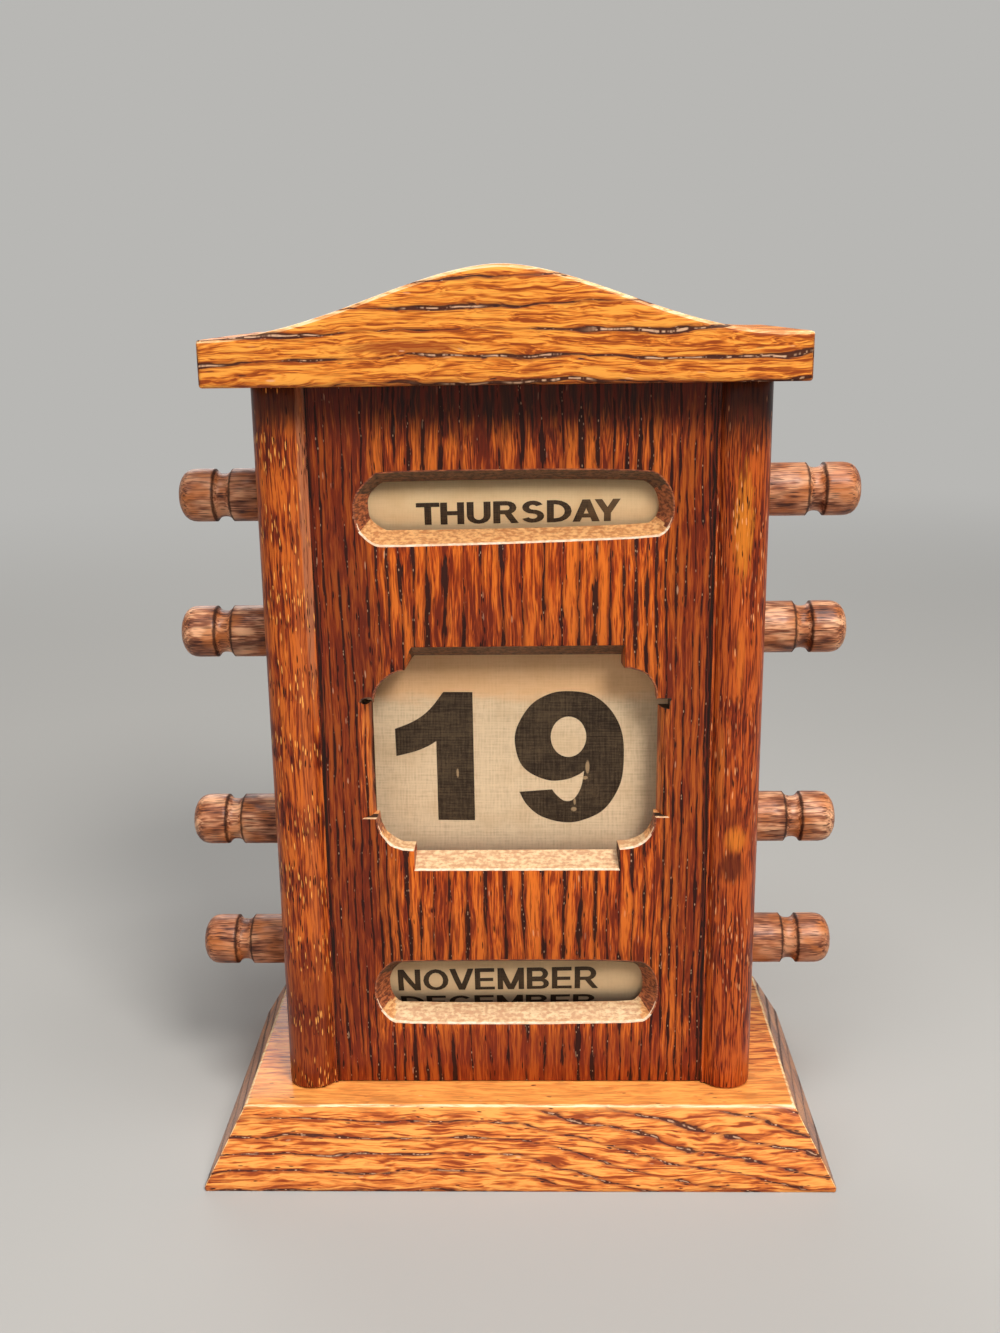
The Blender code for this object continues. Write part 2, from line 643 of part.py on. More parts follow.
def date_roller(row, axis_z, roll_outer, shift, boards):
    """A row that winds the linen: dowel, wound linen and the collars on both sides of it."""
    axis = row_axis(row + "_axis", axis_z, boards)
    knob_dowel(row + "_date_dowel", axis, shift)
    sleeve(row + "_linen_roll", axis, roll_outer, BORE_RADIUS, LINEN_WIDTH, 0, ROLL_STEPS, linen_cloth)
    collar_x = (INNER_WIDTH - COLLAR_THICKNESS) / 2 - COLLAR_PLAY
    for side, side_name in ((-1, "left"), (1, "right")):
        sleeve(f"{row}_{side_name}_collar", axis, COLLAR_RADIUS, BORE_RADIUS, COLLAR_THICKNESS,
               COLLAR_CHAMFER, DOWEL_STEPS, bare_wood, side * collar_x)


def date_linen():
    """The stretch of linen between the two rolls, with the start of its wrap on each."""
    upper_radius = UPPER_ROLL_RADIUS + FIT_GAP
    lower_radius = LOWER_ROLL_RADIUS + FIT_GAP
    lean = asin((upper_radius - lower_radius) / (UPPER_AXIS_Z - LOWER_AXIS_Z))
    path = []
    for step in range(WRAP_STEPS + 1):
        angle = LINEN_WRAP_ANGLE * (1 - step / WRAP_STEPS) - lean
        path.append((-upper_radius * cos(angle), UPPER_AXIS_Z + upper_radius * sin(angle)))
    for step in range(WRAP_STEPS + 1):
        angle = -LINEN_WRAP_ANGLE * step / WRAP_STEPS - lean
        path.append((-lower_radius * cos(angle), LOWER_AXIS_Z + lower_radius * sin(angle)))
    bm = bmesh.new()
    left, right = ([bm.verts.new((side * LINEN_WIDTH / 2, y, z)) for y, z in path] for side in (-1, 1))
    for index in range(len(path) - 1):
        bm.faces.new((left[index], left[index + 1], right[index + 1], right[index]))
    mesh = bpy.data.meshes.new("date_linen")
    bm.to_mesh(mesh)
    bm.free()
    piece = add_object("date_linen", mesh, linen_cloth)
    cloth = piece.modifiers.new("cloth thickness", "SOLIDIFY")
    cloth.thickness = LINEN_THICKNESS
    cloth.offset = 1


def build():
    """Make every piece."""
    base = base_plinth()
    boards = {-1: side_board("left_side_board", -1), 1: side_board("right_side_board", 1)}
    front_panel()
    back = back_panel()
    roof = roof_crest()
    base_screws(base, boards)
    back_screws(back, boards)
    roof_pins(roof, boards)
    name_drum("day", DAY_AXIS_Z, DAY_DOWEL_SHIFT, boards)
    date_roller("upper", UPPER_AXIS_Z, UPPER_ROLL_RADIUS, UPPER_DOWEL_SHIFT, boards)
    date_roller("lower", LOWER_AXIS_Z, LOWER_ROLL_RADIUS, LOWER_DOWEL_SHIFT, boards)
    name_drum("month", MONTH_AXIS_Z, MONTH_DOWEL_SHIFT, boards)
    date_linen()


build()
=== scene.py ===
"""The looks of an oak desk calendar, built round its solid model.

The case, base and roof are varnished oak, the knobs turned dowel, and behind the windows lie a linen strip of
dates and two printed drums. Lengths are metres in the part's own frame: +X is the viewer's right, the front
faces -Y and +Z is up. Textures are worked out in millimetres.
"""

import json
import logging
from collections.abc import Callable, Iterable, Mapping, Sequence
from dataclasses import dataclass, replace
from enum import Enum
from functools import cache
from math import atan2, ceil, cos, hypot, pi, radians, sin, sqrt
from typing import Any

import bmesh
import bpy
import numpy as np
from mathutils import Matrix, Vector, noise
from mathutils.geometry import delaunay_2d_cdt


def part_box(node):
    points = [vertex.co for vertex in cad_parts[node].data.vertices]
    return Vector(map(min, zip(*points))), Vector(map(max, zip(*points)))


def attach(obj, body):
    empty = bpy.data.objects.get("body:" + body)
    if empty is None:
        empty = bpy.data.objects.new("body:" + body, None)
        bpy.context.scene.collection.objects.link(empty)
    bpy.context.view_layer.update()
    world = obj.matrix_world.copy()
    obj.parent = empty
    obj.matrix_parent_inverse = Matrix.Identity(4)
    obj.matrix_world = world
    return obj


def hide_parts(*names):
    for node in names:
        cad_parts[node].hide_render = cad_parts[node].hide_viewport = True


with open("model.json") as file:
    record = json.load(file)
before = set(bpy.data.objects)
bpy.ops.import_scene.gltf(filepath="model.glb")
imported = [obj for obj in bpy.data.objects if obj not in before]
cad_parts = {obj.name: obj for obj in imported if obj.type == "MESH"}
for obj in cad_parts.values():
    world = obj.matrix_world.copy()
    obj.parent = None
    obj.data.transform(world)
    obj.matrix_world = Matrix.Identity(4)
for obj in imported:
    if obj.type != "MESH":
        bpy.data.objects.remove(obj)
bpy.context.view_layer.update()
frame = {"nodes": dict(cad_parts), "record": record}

MM = 0.001
PER_METRE = 1000.0
FINE = 1e-6

log = logging.getLogger("calendar")

Colour = tuple[float, float, float]
Flat = tuple[float, float]
Outline = list[Flat]
Value = Any


class Grain(Enum):
    """The way that a board's grain runs."""

    UPRIGHT = "up the case"
    ACROSS = "from side to side"


class Side(Enum):
    """A side of the case, as the sign of x."""

    LEFT = -1
    RIGHT = 1


def shown(red: float, green: float, blue: float) -> Colour:
    """The linear colour that a screen shows as these values from 0 to 255."""
    low, knee, gain = 0.04045, 12.92, 1.055
    shares = (value / 255 for value in (red, green, blue))
    return tuple(s / knee if s <= low else ((s + gain - 1) / gain) ** 2.4 for s in shares)


def blended(first: Colour, second: Colour, share: float) -> Colour:
    """A colour that lies a share of the way from the first to the second."""
    return tuple(a + (b - a) * share for a, b in zip(first, second))


# Node trees


class Socket:
    """A node's output that takes part in Python arithmetic, which adds Math nodes."""

    def __init__(self, pad: "Pad", link: bpy.types.NodeSocket) -> None:
        """Keep the pad that adds nodes and the output itself."""
        self.pad = pad
        self.link = link

    def other(self, name: int | str) -> "Socket":
        """Another output of the same node."""
        return Socket(self.pad, self.link.node.outputs[name])

    def __add__(self, value: Value) -> "Socket":
        """Sum."""
        return self.pad.maths("ADD", self, value)

    __radd__ = __add__

    def __sub__(self, value: Value) -> "Socket":
        """Difference."""
        return self.pad.maths("SUBTRACT", self, value)

    def __rsub__(self, value: Value) -> "Socket":
        """Difference, from a number."""
        return self.pad.maths("SUBTRACT", value, self)

    def __mul__(self, value: Value) -> "Socket":
        """Product."""
        return self.pad.maths("MULTIPLY", self, value)

    __rmul__ = __mul__

    def __truediv__(self, value: Value) -> "Socket":
        """Quotient."""
        return self.pad.maths("DIVIDE", self, value)

    def __pow__(self, value: Value) -> "Socket":
        """Power."""
        return self.pad.maths("POWER", self, value)

    def __mod__(self, value: Value) -> "Socket":
        """Remainder that is never negative."""
        return self.pad.maths("FLOORED_MODULO", self, value)

    def __abs__(self) -> "Socket":
        """Size without its sign."""
        return self.pad.maths("ABSOLUTE", self)


class Pad:
    """Adds nodes to one node tree."""

    def __init__(self, tree: bpy.types.NodeTree) -> None:
        """Keep the tree."""
        self.tree = tree

    def node(self, kind: str, settings: Mapping[str, Any] | None = None,
             values: Mapping[int | str, Value] | None = None, out: int | str = 0) -> Socket:
        """Add a node.

        Args:
            kind: the node's type.
            settings: its properties, set first; "stops" are a ramp's (place, colour) pairs.
            values: numbers, colours or other nodes' outputs for its sockets.
            out: which output to return.

        Returns:
            That output.
        """
        made = self.tree.nodes.new(kind)
        for name, value in (settings or {}).items():
            if name == "stops":
                self._set_stops(made.color_ramp, value)
            else:
                setattr(made, name, value)
        for name, value in (values or {}).items():
            if isinstance(value, Socket):
                self.tree.links.new(value.link, made.inputs[name])
            else:
                made.inputs[name].default_value = value
        return Socket(self, made.outputs[out])

    @staticmethod
    def _set_stops(ramp: bpy.types.ColorRamp, stops: Sequence[tuple[float, Colour]]) -> None:
        """Give a ramp its stops, in order of place."""
        while len(ramp.elements) < len(stops):
            ramp.elements.new(1.0)
        for element, (place, colour) in zip(ramp.elements, stops):
            element.position = place
            element.color = (*colour, 1.0)

    def maths(self, operation: str, *values: Value) -> Socket:
        """A Math node."""
        return self.node("ShaderNodeMath", {"operation": operation}, dict(enumerate(values)))

    def vectors(self, operation: str, *values: Value) -> Socket:
        """A Vector Math node."""
        return self.node("ShaderNodeVectorMath", {"operation": operation}, dict(enumerate(values)))

    def join(self, x: Value, y: Value, z: Value) -> Socket:
        """A vector of three values."""
        return self.node("ShaderNodeCombineXYZ", values={0: x, 1: y, 2: z})

    def split(self, vector: Socket) -> tuple[Socket, Socket, Socket]:
        """The three values of a vector."""
        first = self.node("ShaderNodeSeparateXYZ", values={0: vector})
        return first, first.other(1), first.other(2)

    def step(self, value: Value, start: Value, end: Value) -> Socket:
        """0 before start and 1 past end, with a smooth rise between them; start may be the larger."""
        settings = {"interpolation_type": "SMOOTHSTEP", "clamp": True}
        return self.node("ShaderNodeMapRange", settings, {0: value, 1: start, 2: end})

    def cloud(self, place: Socket, pitch: tuple[float, float, float], detail: float = 2.0,
              out: int = 0) -> Socket:
        """Soft noise whose features are about as large as pitch, in millimetres along each axis."""
        scaled = self.vectors("DIVIDE", place, pitch)
        return self.node("ShaderNodeTexNoise", {}, {"Vector": scaled, "Scale": 1.0, "Detail": detail}, out)

    def cells(self, place: Socket, pitch: tuple[float, float, float]) -> tuple[Socket, Socket]:
        """Distance to the nearest of scattered points, and that point's own random number."""
        scaled = self.vectors("DIVIDE", place, pitch)
        near = self.node("ShaderNodeTexVoronoi", {}, {"Vector": scaled, "Scale": 1.0})
        return near, self.split(near.other(1))[0]


class ShaderPad(Pad):
    """Adds nodes to a new material."""

    def __init__(self, name: str) -> None:
        """Start a material of that name."""
        self.material = bpy.data.materials.new(name)
        self.material.use_nodes = True
        super().__init__(self.material.node_tree)
        self.surface = self.tree.nodes["Principled BSDF"]

    def place(self) -> Socket:
        """Object coordinates in millimetres."""
        where = self.node("ShaderNodeTexCoord", out="Object")
        return self.vectors("MULTIPLY", where, (PER_METRE,) * 3)

    def lay(self) -> Socket:
        """The piece's own cloth coordinates in millimetres: across it, then along it."""
        where = self.node("ShaderNodeUVMap", {"uv_map": Cloth.MAP})
        return self.vectors("MULTIPLY", where, (PER_METRE,) * 3)

    def mix(self, first: Value, second: Value, share: Value) -> Socket:
        """A colour between two others."""
        values = {0: share, 6: self._colour(first), 7: self._colour(second)}
        return self.node("ShaderNodeMix", {"data_type": "RGBA"}, values, 2)

    @staticmethod
    def _colour(value: Value) -> Value:
        """A colour with its alpha, where it is a plain one."""
        return value if isinstance(value, Socket) else (*value, 1.0)

    def ramp(self, value: Socket, *stops: tuple[float, Colour]) -> Socket:
        """A colour read from a ramp."""
        return self.node("ShaderNodeValToRGB", {"stops": stops}, {0: value})

    def relief(self, height: Socket, depth: float, strength: float = 1.0) -> Socket:
        """A normal for a surface that rises by depth, in millimetres, where height is 1."""
        values = {"Height": height, "Distance": depth * MM, "Strength": strength}
        return self.node("ShaderNodeBump", {}, values)

    def finish(self, **values: Value) -> bpy.types.Material:
        """Set or link the surface's sockets, whose names have _ for a space, and give the material."""
        for name, value in values.items():
            socket = self.surface.inputs[name.replace("_", " ")]
            if isinstance(value, Socket):
                self.tree.links.new(value.link, socket)
            else:
                socket.default_value = (*value, 1.0) if isinstance(value, tuple) else value
        return self.material


class GeometryPad(Pad):
    """Adds nodes to a new Geometry Nodes tree with named inputs."""

    def __init__(self, name: str) -> None:
        """Start a tree of that name."""
        super().__init__(bpy.data.node_groups.new(name, "GeometryNodeTree"))
        self.tree.interface.new_socket("Geometry", in_out="OUTPUT", socket_type="NodeSocketGeometry")
        self.given: dict[str, tuple[str, Value]] = {}
        self.entry = None

    def ask(self, name: str, value: Value) -> Socket:
        """A named input of the tree, with the value that this use of it has."""
        kind = "NodeSocketInt" if isinstance(value, int) else "NodeSocketFloat"
        item = self.tree.interface.new_socket(name, in_out="INPUT", socket_type=kind)
        self.given[name] = (item.identifier, value)
        if self.entry is None:
            self.entry = self.tree.nodes.new("NodeGroupInput")
        return Socket(self, self.entry.outputs[name])

    def moved(self, geometry: Socket, place: Value, turn: Value = (0.0, 0.0, 0.0)) -> Socket:
        """Geometry that is turned and then moved."""
        return self.node("GeometryNodeTransform", {}, {0: geometry, "Translation": place, "Rotation": turn})

    def run(self, name: str, geometry: Socket, material: bpy.types.Material) -> bpy.types.Object:
        """Close the tree and turn what it makes into a plain mesh.

        Args:
            name: the piece's name.
            geometry: what the tree has made.
            material: its finish.

        Returns:
            An object at the origin, without the modifier.
        """
        real = self.node("GeometryNodeRealizeInstances", {}, {0: geometry})
        dressed = self.node("GeometryNodeSetMaterial", {}, {0: real, "Material": material})
        leave = self.tree.nodes.new("NodeGroupOutput")
        self.tree.links.new(dressed.link, leave.inputs[0])
        piece = add_object(name, bpy.data.meshes.new(name))
        modifier = piece.modifiers.new(self.tree.name, "NODES")
        modifier.node_group = self.tree
        for identifier, value in self.given.values():
            modifier[identifier] = value
        settle_modifiers(piece)
        return piece


# Meshes


def add_object(name: str, mesh: bpy.types.ID) -> bpy.types.Object:
    """Link a mesh or curve to the scene as an object at the origin."""
    made = bpy.data.objects.new(name, mesh)
    bpy.context.scene.collection.objects.link(made)
    return made


def mesh_object(name: str, points: Iterable[Sequence[float]], faces: Iterable[Sequence[int]]
                ) -> bpy.types.Object:
    """An object with a new mesh."""
    mesh = bpy.data.meshes.new(name)
    mesh.from_pydata([tuple(point) for point in points], [], [tuple(face) for face in faces])
    mesh.validate()
    return add_object(name, mesh)


def settle_modifiers(piece: bpy.types.Object) -> None:
    """Make what an object's modifiers give its own mesh, and take them off."""
    bpy.context.view_layer.update()
    evaluated = piece.evaluated_get(bpy.context.evaluated_depsgraph_get())
    mesh = bpy.data.meshes.new_from_object(evaluated)
    piece.modifiers.clear()
    piece.data = mesh
    mesh.name = piece.name


def face_outwards(piece: bpy.types.Object) -> None:
    """Turn a closed mesh's faces outwards."""
    bm = bmesh.new()
    bm.from_mesh(piece.data)
    bmesh.ops.recalc_face_normals(bm, faces=bm.faces)
    bm.to_mesh(piece.data)
    bm.free()


def smooth(piece: bpy.types.Object, sharp_above: float = 35.0) -> None:
    """Shade a piece smooth, apart from edges sharper than that many degrees."""
    piece.data.shade_smooth()
    piece.data.set_sharp_from_angle(angle=radians(sharp_above))


def loft(name: str, rings: Sequence[Sequence[Sequence[float]]]) -> bpy.types.Object:
    """A closed solid through rings of equally many points, its ends capped."""
    count = len(rings[0])
    points = [point for ring in rings for point in ring]
    faces = [list(range(count))[::-1], list(range((len(rings) - 1) * count, len(rings) * count))]
    for level in range(len(rings) - 1):
        start = level * count
        for index in range(count):
            after = (index + 1) % count
            faces.append((start + index, start + after, start + count + after, start + count + index))
    piece = mesh_object(name, points, faces)
    face_outwards(piece)
    return piece


def carve(piece: bpy.types.Object, cutters: Sequence[bpy.types.Object]) -> None:
    """Cut solids out of a piece, which takes their materials on the cut faces."""
    for cutter in cutters:
        modifier = piece.modifiers.new(cutter.name, "BOOLEAN")
        modifier.operation = "DIFFERENCE"
        modifier.solver = "EXACT"
        modifier.material_mode = "TRANSFER"
        modifier.object = cutter
    settle_modifiers(piece)
    for cutter in cutters:
        bpy.data.objects.remove(cutter)


def rounded(piece: bpy.types.Object, width: float, segments: int = 3, above: float = 40.0) -> None:
    """Round the edges that are sharper than that many degrees."""
    bevel = piece.modifiers.new("rounding", "BEVEL")
    bevel.width = width
    bevel.segments = segments
    bevel.limit_method = "ANGLE"
    bevel.angle_limit = radians(above)
    bevel.harden_normals = True
    settle_modifiers(piece)


def refinish(piece: bpy.types.Object, finish: bpy.types.Material,
             chosen: Callable[[bpy.types.MeshPolygon], bool]) -> None:
    """Give some of a piece's faces another finish.

    Args:
        piece: the piece.
        finish: the other finish.
        chosen: says of a face whether it is one of them.
    """
    piece.data.materials.append(finish)
    last = len(piece.data.materials) - 1
    for face in piece.data.polygons:
        if chosen(face):
            face.material_index = last


def unevenness(place: Sequence[float], pitch: float, seed: float) -> float:
    """A number from about -1 to 1 that varies slowly from place to place."""
    return noise.noise(Vector(place) / pitch + Vector((seed, -seed, seed)))


def cut_round(points: Outline, rounds: int = 1) -> Outline:
    """A closed outline with its corners cut off, and cut again, which leaves them round."""
    for _ in range(rounds):
        smoother = []
        for (x0, z0), (x1, z1) in zip(points, points[1:] + points[:1]):
            smoother += [(0.75 * x0 + 0.25 * x1, 0.75 * z0 + 0.25 * z1),
                         (0.25 * x0 + 0.75 * x1, 0.25 * z0 + 0.75 * z1)]
        points = smoother
    return points


def area(points: Sequence[Flat]) -> float:
    """Twice an outline's area, less than nothing where it runs clockwise."""
    return sum(x0 * z1 - x1 * z0 for (x0, z0), (x1, z1) in zip(points, [*points[1:], points[0]]))


def grown(points: Outline, distance: float) -> Outline:
    """A closed anticlockwise outline moved outwards by a distance."""
    made = []
    for index, (x, z) in enumerate(points):
        (x0, z0), (x1, z1) = points[index - 1], points[(index + 1) % len(points)]
        length = max(hypot(x1 - x0, z1 - z0), FINE)
        made.append((x + (z1 - z0) / length * distance, z - (x1 - x0) / length * distance))
    return made


def round_corners(width: float, height: float, radius: float, steps: int, straights: tuple[int, int] = (1, 1)
                  ) -> Outline:
    """A rectangle's outline about its middle, anticlockwise, with round corners.

    Args:
        width: its size along the first axis.
        height: its size along the second axis.
        radius: the corners' radius.
        steps: how many steps turn each corner.
        straights: how many steps the long and the upright sides have.

    Returns:
        The outline's points.
    """
    half_w, half_h = width / 2 - radius, height / 2 - radius
    corners = ((half_w, half_h), (-half_w, half_h), (-half_w, -half_h), (half_w, -half_h))
    points = []
    for quarter, (x, z) in enumerate(corners):
        turn = [pi / 2 * (quarter + step / steps) for step in range(steps + 1)]
        points += [(x + radius * cos(angle), z + radius * sin(angle)) for angle in turn]
        x0, z0 = points[-1]
        nx, nz = corners[(quarter + 1) % 4]
        end = pi / 2 * (quarter + 1)
        x1, z1 = nx + radius * cos(end), nz + radius * sin(end)
        count = straights[quarter % 2]
        points += [(x0 + (x1 - x0) * i / count, z0 + (z1 - z0) * i / count) for i in range(1, count)]
    return points


@dataclass(frozen=True)
class Box:
    """The room that one or more solids take."""

    low: Vector
    high: Vector

    @classmethod
    @cache
    def of(cls, node: str) -> "Box":
        """The box of one solid."""
        return cls(*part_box(node))

    @property
    def middle(self) -> Vector:
        """Its middle."""
        return (self.low + self.high) / 2

    @property
    def size(self) -> Vector:
        """Its size along each axis."""
        return self.high - self.low


@dataclass
class Piece:
    """A finished mesh, the body that carries it and the solids that it stands for."""

    shape: bpy.types.Object
    body: str
    slot: str
    stands_for: tuple[str, ...] = ()

    def settle(self) -> None:
        """Hand the piece over to the frame."""
        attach(self.shape, self.body)
        if self.stands_for:
            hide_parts(*self.stands_for)
        log.info("%s: %d faces on %s", self.shape.name, len(self.shape.data.polygons), self.body)


# Finishes


@dataclass(frozen=True)
class StainAndPaintedLight:
    """A patch of another colour in a board, used for real stains and also for painted shade and painted highlights:
    where it lies and how large it is, in millimetres.
    """

    centre: tuple[float, float, float]
    reach: tuple[float, float, float]
    colour: Colour
    strength: float = 0.7
    fray: float = 0.9


@dataclass(frozen=True)
class Years:
    """How a board cuts through the yearly bands: how many bands a millimetre crosses, each way."""

    across: float = 0.2
    along: float = 0.0
    deep: float = 0.03
    crowd: float = 0.0
    arch: float = 0.0
    fall: float = 0.0
    line: float = 0.0

    def count(self, pad: Pad, a: Socket, b: Socket, c: Socket) -> Socket:
        """The years at a place across, through and along the grain."""
        off = a - self.line
        square = off * off
        years = off * (square * self.crowd + self.across) + b * self.deep + c * self.along
        return years + square * self.arch + pad.maths("MAXIMUM", c, 0.0) * self.fall


@dataclass(frozen=True)
class Oak:
    """Oak as one board shows it: dark, porous bands, one a year, in smooth wood. Lengths are millimetres."""

    grain: Grain
    years: Years
    light: Colour
    middle: Colour
    dark: Colour
    pore: Colour
    # Colour of painted highlights: glints of varnish in the bands and their pale cores, and the light flecks, which
    # also stand for ray flecks.
    glint: Colour
    band: float = 0.15
    fray: float = 0.26
    margin: float = 0.2
    taper: float = 12.0
    drift: float = 3.0
    ripple: float = 0.7
    fibre: tuple[float, float, float] = (0.4, 0.4, 8.0)
    tone: tuple[float, float, float] = (3.0, 3.0, 30.0)
    streaks: float = 0.5
    hair: float = 0.3
    pores: tuple[float, float, float] = (0.5, 0.5, 3.0)
    zone: float = 0.25
    dashes: float = 0.16
    flecks: float = 0.0
    sparkle: float = 0.34
    core: float = 0.0
    glow: float = 0.0
    coat: float = 0.08
    specular: float = 0.18
    roughness: float = 0.34
    contrast: float = 0.5
    stains: tuple[StainAndPaintedLight, ...] = ()
    calm: tuple[StainAndPaintedLight, ...] = ()

    def dress(self, name: str) -> bpy.types.Material:
        """Make the material of a piece."""
        pad = ShaderPad(name)
        place = pad.place()
        x, y, z = pad.split(place)
        a, b, c = (x, y, z) if self.grain is Grain.UPRIGHT else (z, y, x)
        timber = pad.join(a, b, c)
        drift = pad.split(pad.cloud(timber, (14.0, 14.0, 46.0), 1.0, out=1))
        ripple = pad.split(pad.cloud(timber, (2.2, 2.2, 8.0), 1.0, out=1))
        a = a + (drift[0] - 0.5) * self.drift + (ripple[0] - 0.5) * self.ripple
        b = b + (drift[1] - 0.5) * self.drift + (ripple[1] - 0.5) * self.ripple
        warped = pad.join(a, b, c)
        fibre = pad.cloud(warped, self.fibre, 5.0)
        band, margin, core, zone = self._bands(pad, self.years.count(pad, a, b, c), c, fibre)
        for patch in self.calm:
            open_grain = 1.0 - self._patch(pad, place, patch, fibre)
            band, margin, core, zone = (share * open_grain for share in (band, margin, core, zone))
        dash, fleck, spark = self._marks(pad, warped, band, zone)

        tone = pad.cloud(warped, self.tone, 3.0) + (fibre - 0.5) * self.contrast + (
            pad.cloud(warped, (0.8, 0.8, 12.0), 2.0) - 0.5) * self.streaks + (0.5 - zone) * self.glow
        colour = pad.ramp(tone, (0.34, self.dark), (0.47, self.middle), (0.6, self.light))
        # Patches of other colour: stains, and in some finishes painted shade and painted highlights.
        for stain in self.stains:
            colour = pad.mix(colour, stain.colour, self._patch(pad, place, stain, fibre))
        hair = pad.step(pad.cloud(warped, (0.48, 0.48, 9.0), 3.0), 0.54, 0.64) * self.hair
        colour = pad.mix(colour, self.dark, pad.maths("MAXIMUM", margin * 0.75, hair))
        colour = pad.mix(colour, self.pore, band * 0.92)
        colour = pad.mix(colour, self.pore, dash)
        # Painted highlights: pale cores and sparks of varnish glint, and light flecks that are partly ray flecks and
        # partly painted glints.
        light = pad.maths("MAXIMUM", core * self.core, pad.maths("MAXIMUM", fleck, spark * self.sparkle))
        colour = pad.mix(colour, self.glint, light)
        rough = self.roughness + pad.maths("MAXIMUM", dash, band) * 0.25 + (fibre - 0.5) * 0.12
        height = 1.0 - dash - band * 0.35 - fibre * 0.15
        return pad.finish(Base_Color=colour, Roughness=rough, Normal=pad.relief(height, 0.12, 0.7),
                          Coat_Weight=self.coat, Coat_Roughness=0.12, Specular_IOR_Level=self.specular)

    def _bands(self, pad: ShaderPad, years: Socket, c: Socket, fibre: Socket
               ) -> tuple[Socket, Socket, Socket, Socket]:
        """The band of each year, its darker margin, its broken pale core, which is a painted glint of varnish, and
        the porous zone round it.
        """
        year = pad.maths("FLOOR", years)
        season = years - year
        luck = pad.node("ShaderNodeTexWhiteNoise", {"noise_dimensions": "1D"}, {"W": year})
        swell = pad.cloud(pad.join(year * 5.7, luck * 9.0, c), (1.0, 1.0, self.taper), 1.5)
        strength = pad.step(swell, 0.36, 0.64) * (luck * 0.7 + 0.65)
        width = strength * self.band - (0.0 if self.band else 1.0)
        off = abs(season - 0.5)
        frayed = off + (fibre - 0.5) * self.fray
        band = pad.step(frayed, width + 0.025, width - 0.025)
        margin = pad.step(frayed, width + self.margin, width)
        core = pad.step(off + (fibre - 0.5) * self.fray * 0.4, self.band * 0.42, self.band * 0.14)
        broken = pad.cloud(pad.join(year * 3.1, luck, c), (1.0, 1.0, 1.9), 2.0)
        core = core * pad.step(strength, 0.5, 0.75) * pad.step(broken, 0.42, 0.54)
        return band, margin, core, pad.step(off, self.zone + 0.08, self.zone - 0.08)

    def _marks(self, pad: ShaderPad, warped: Socket, band: Socket, zone: Socket
               ) -> tuple[Socket, Socket, Socket]:
        """Dark dashes, which are open pores, light flecks beside them, which stand both for ray flecks and for
        painted glints of varnish, and sparks in the bands, painted glints of varnish.
        """
        distance, luck = pad.cells(warped, self.pores)
        inside = pad.step(distance, 0.42, 0.2)
        share = zone * 0.85 + 0.15
        dash = inside * pad.step(luck - share * self.dashes, 0.02, -0.02)
        fleck = inside * pad.step(1.0 - luck - share * self.flecks, 0.02, -0.02)
        spot, chance = pad.cells(warped, (0.45, 0.45, 1.3))
        spark = pad.step(spot, 0.32, 0.12) * pad.step(chance, 0.62, 0.7) * band
        return dash, fleck, spark

    @staticmethod
    def _patch(pad: ShaderPad, place: Socket, stain: StainAndPaintedLight, fibre: Socket) -> Socket:
        """How strongly a patch shows at a place, be it a stain, painted shade or a painted highlight: its edge is
        frayed along the fibres.
        """
        away = pad.vectors("DIVIDE", pad.vectors("SUBTRACT", place, stain.centre), stain.reach)
        far = pad.node("ShaderNodeVectorMath", {"operation": "LENGTH"}, {0: away}, "Value")
        return pad.step(far + (fibre - 0.5) * stain.fray, 1.15, 0.6) * stain.strength


@dataclass(frozen=True)
class CutWood:
    """Oak where a tool has cut it: short, rough fibres with little stain."""

    light: Colour
    dark: Colour
    fleck: float = 0.6

    def dress(self, name: str) -> bpy.types.Material:
        """Make the material of cut faces."""
        pad = ShaderPad(name)
        place = pad.place()
        crumbs = pad.cloud(place, (1.1, 1.6, 0.5), 4.0)
        marks = pad.cloud(place, (2.6, 0.8, 0.45), 3.0)
        distance, luck = pad.cells(place, (0.9, 0.55, 0.5))
        pits = pad.step(distance, 0.36, 0.16) * pad.step(luck, 0.52, 0.44) * self.fleck
        share = pad.step(crumbs + (marks - 0.5) * 0.7, 0.34, 0.68)
        colour = pad.mix(pad.mix(self.dark, self.light, share), blended(self.dark, (0.0, 0.0, 0.0), 0.45), pits)
        height = crumbs * 0.6 + marks * 0.4 - pits
        return pad.finish(Base_Color=colour, Roughness=0.5 + pits * 0.3, Normal=pad.relief(height, 0.16, 0.8),
                          Coat_Weight=0.12, Coat_Roughness=0.25)


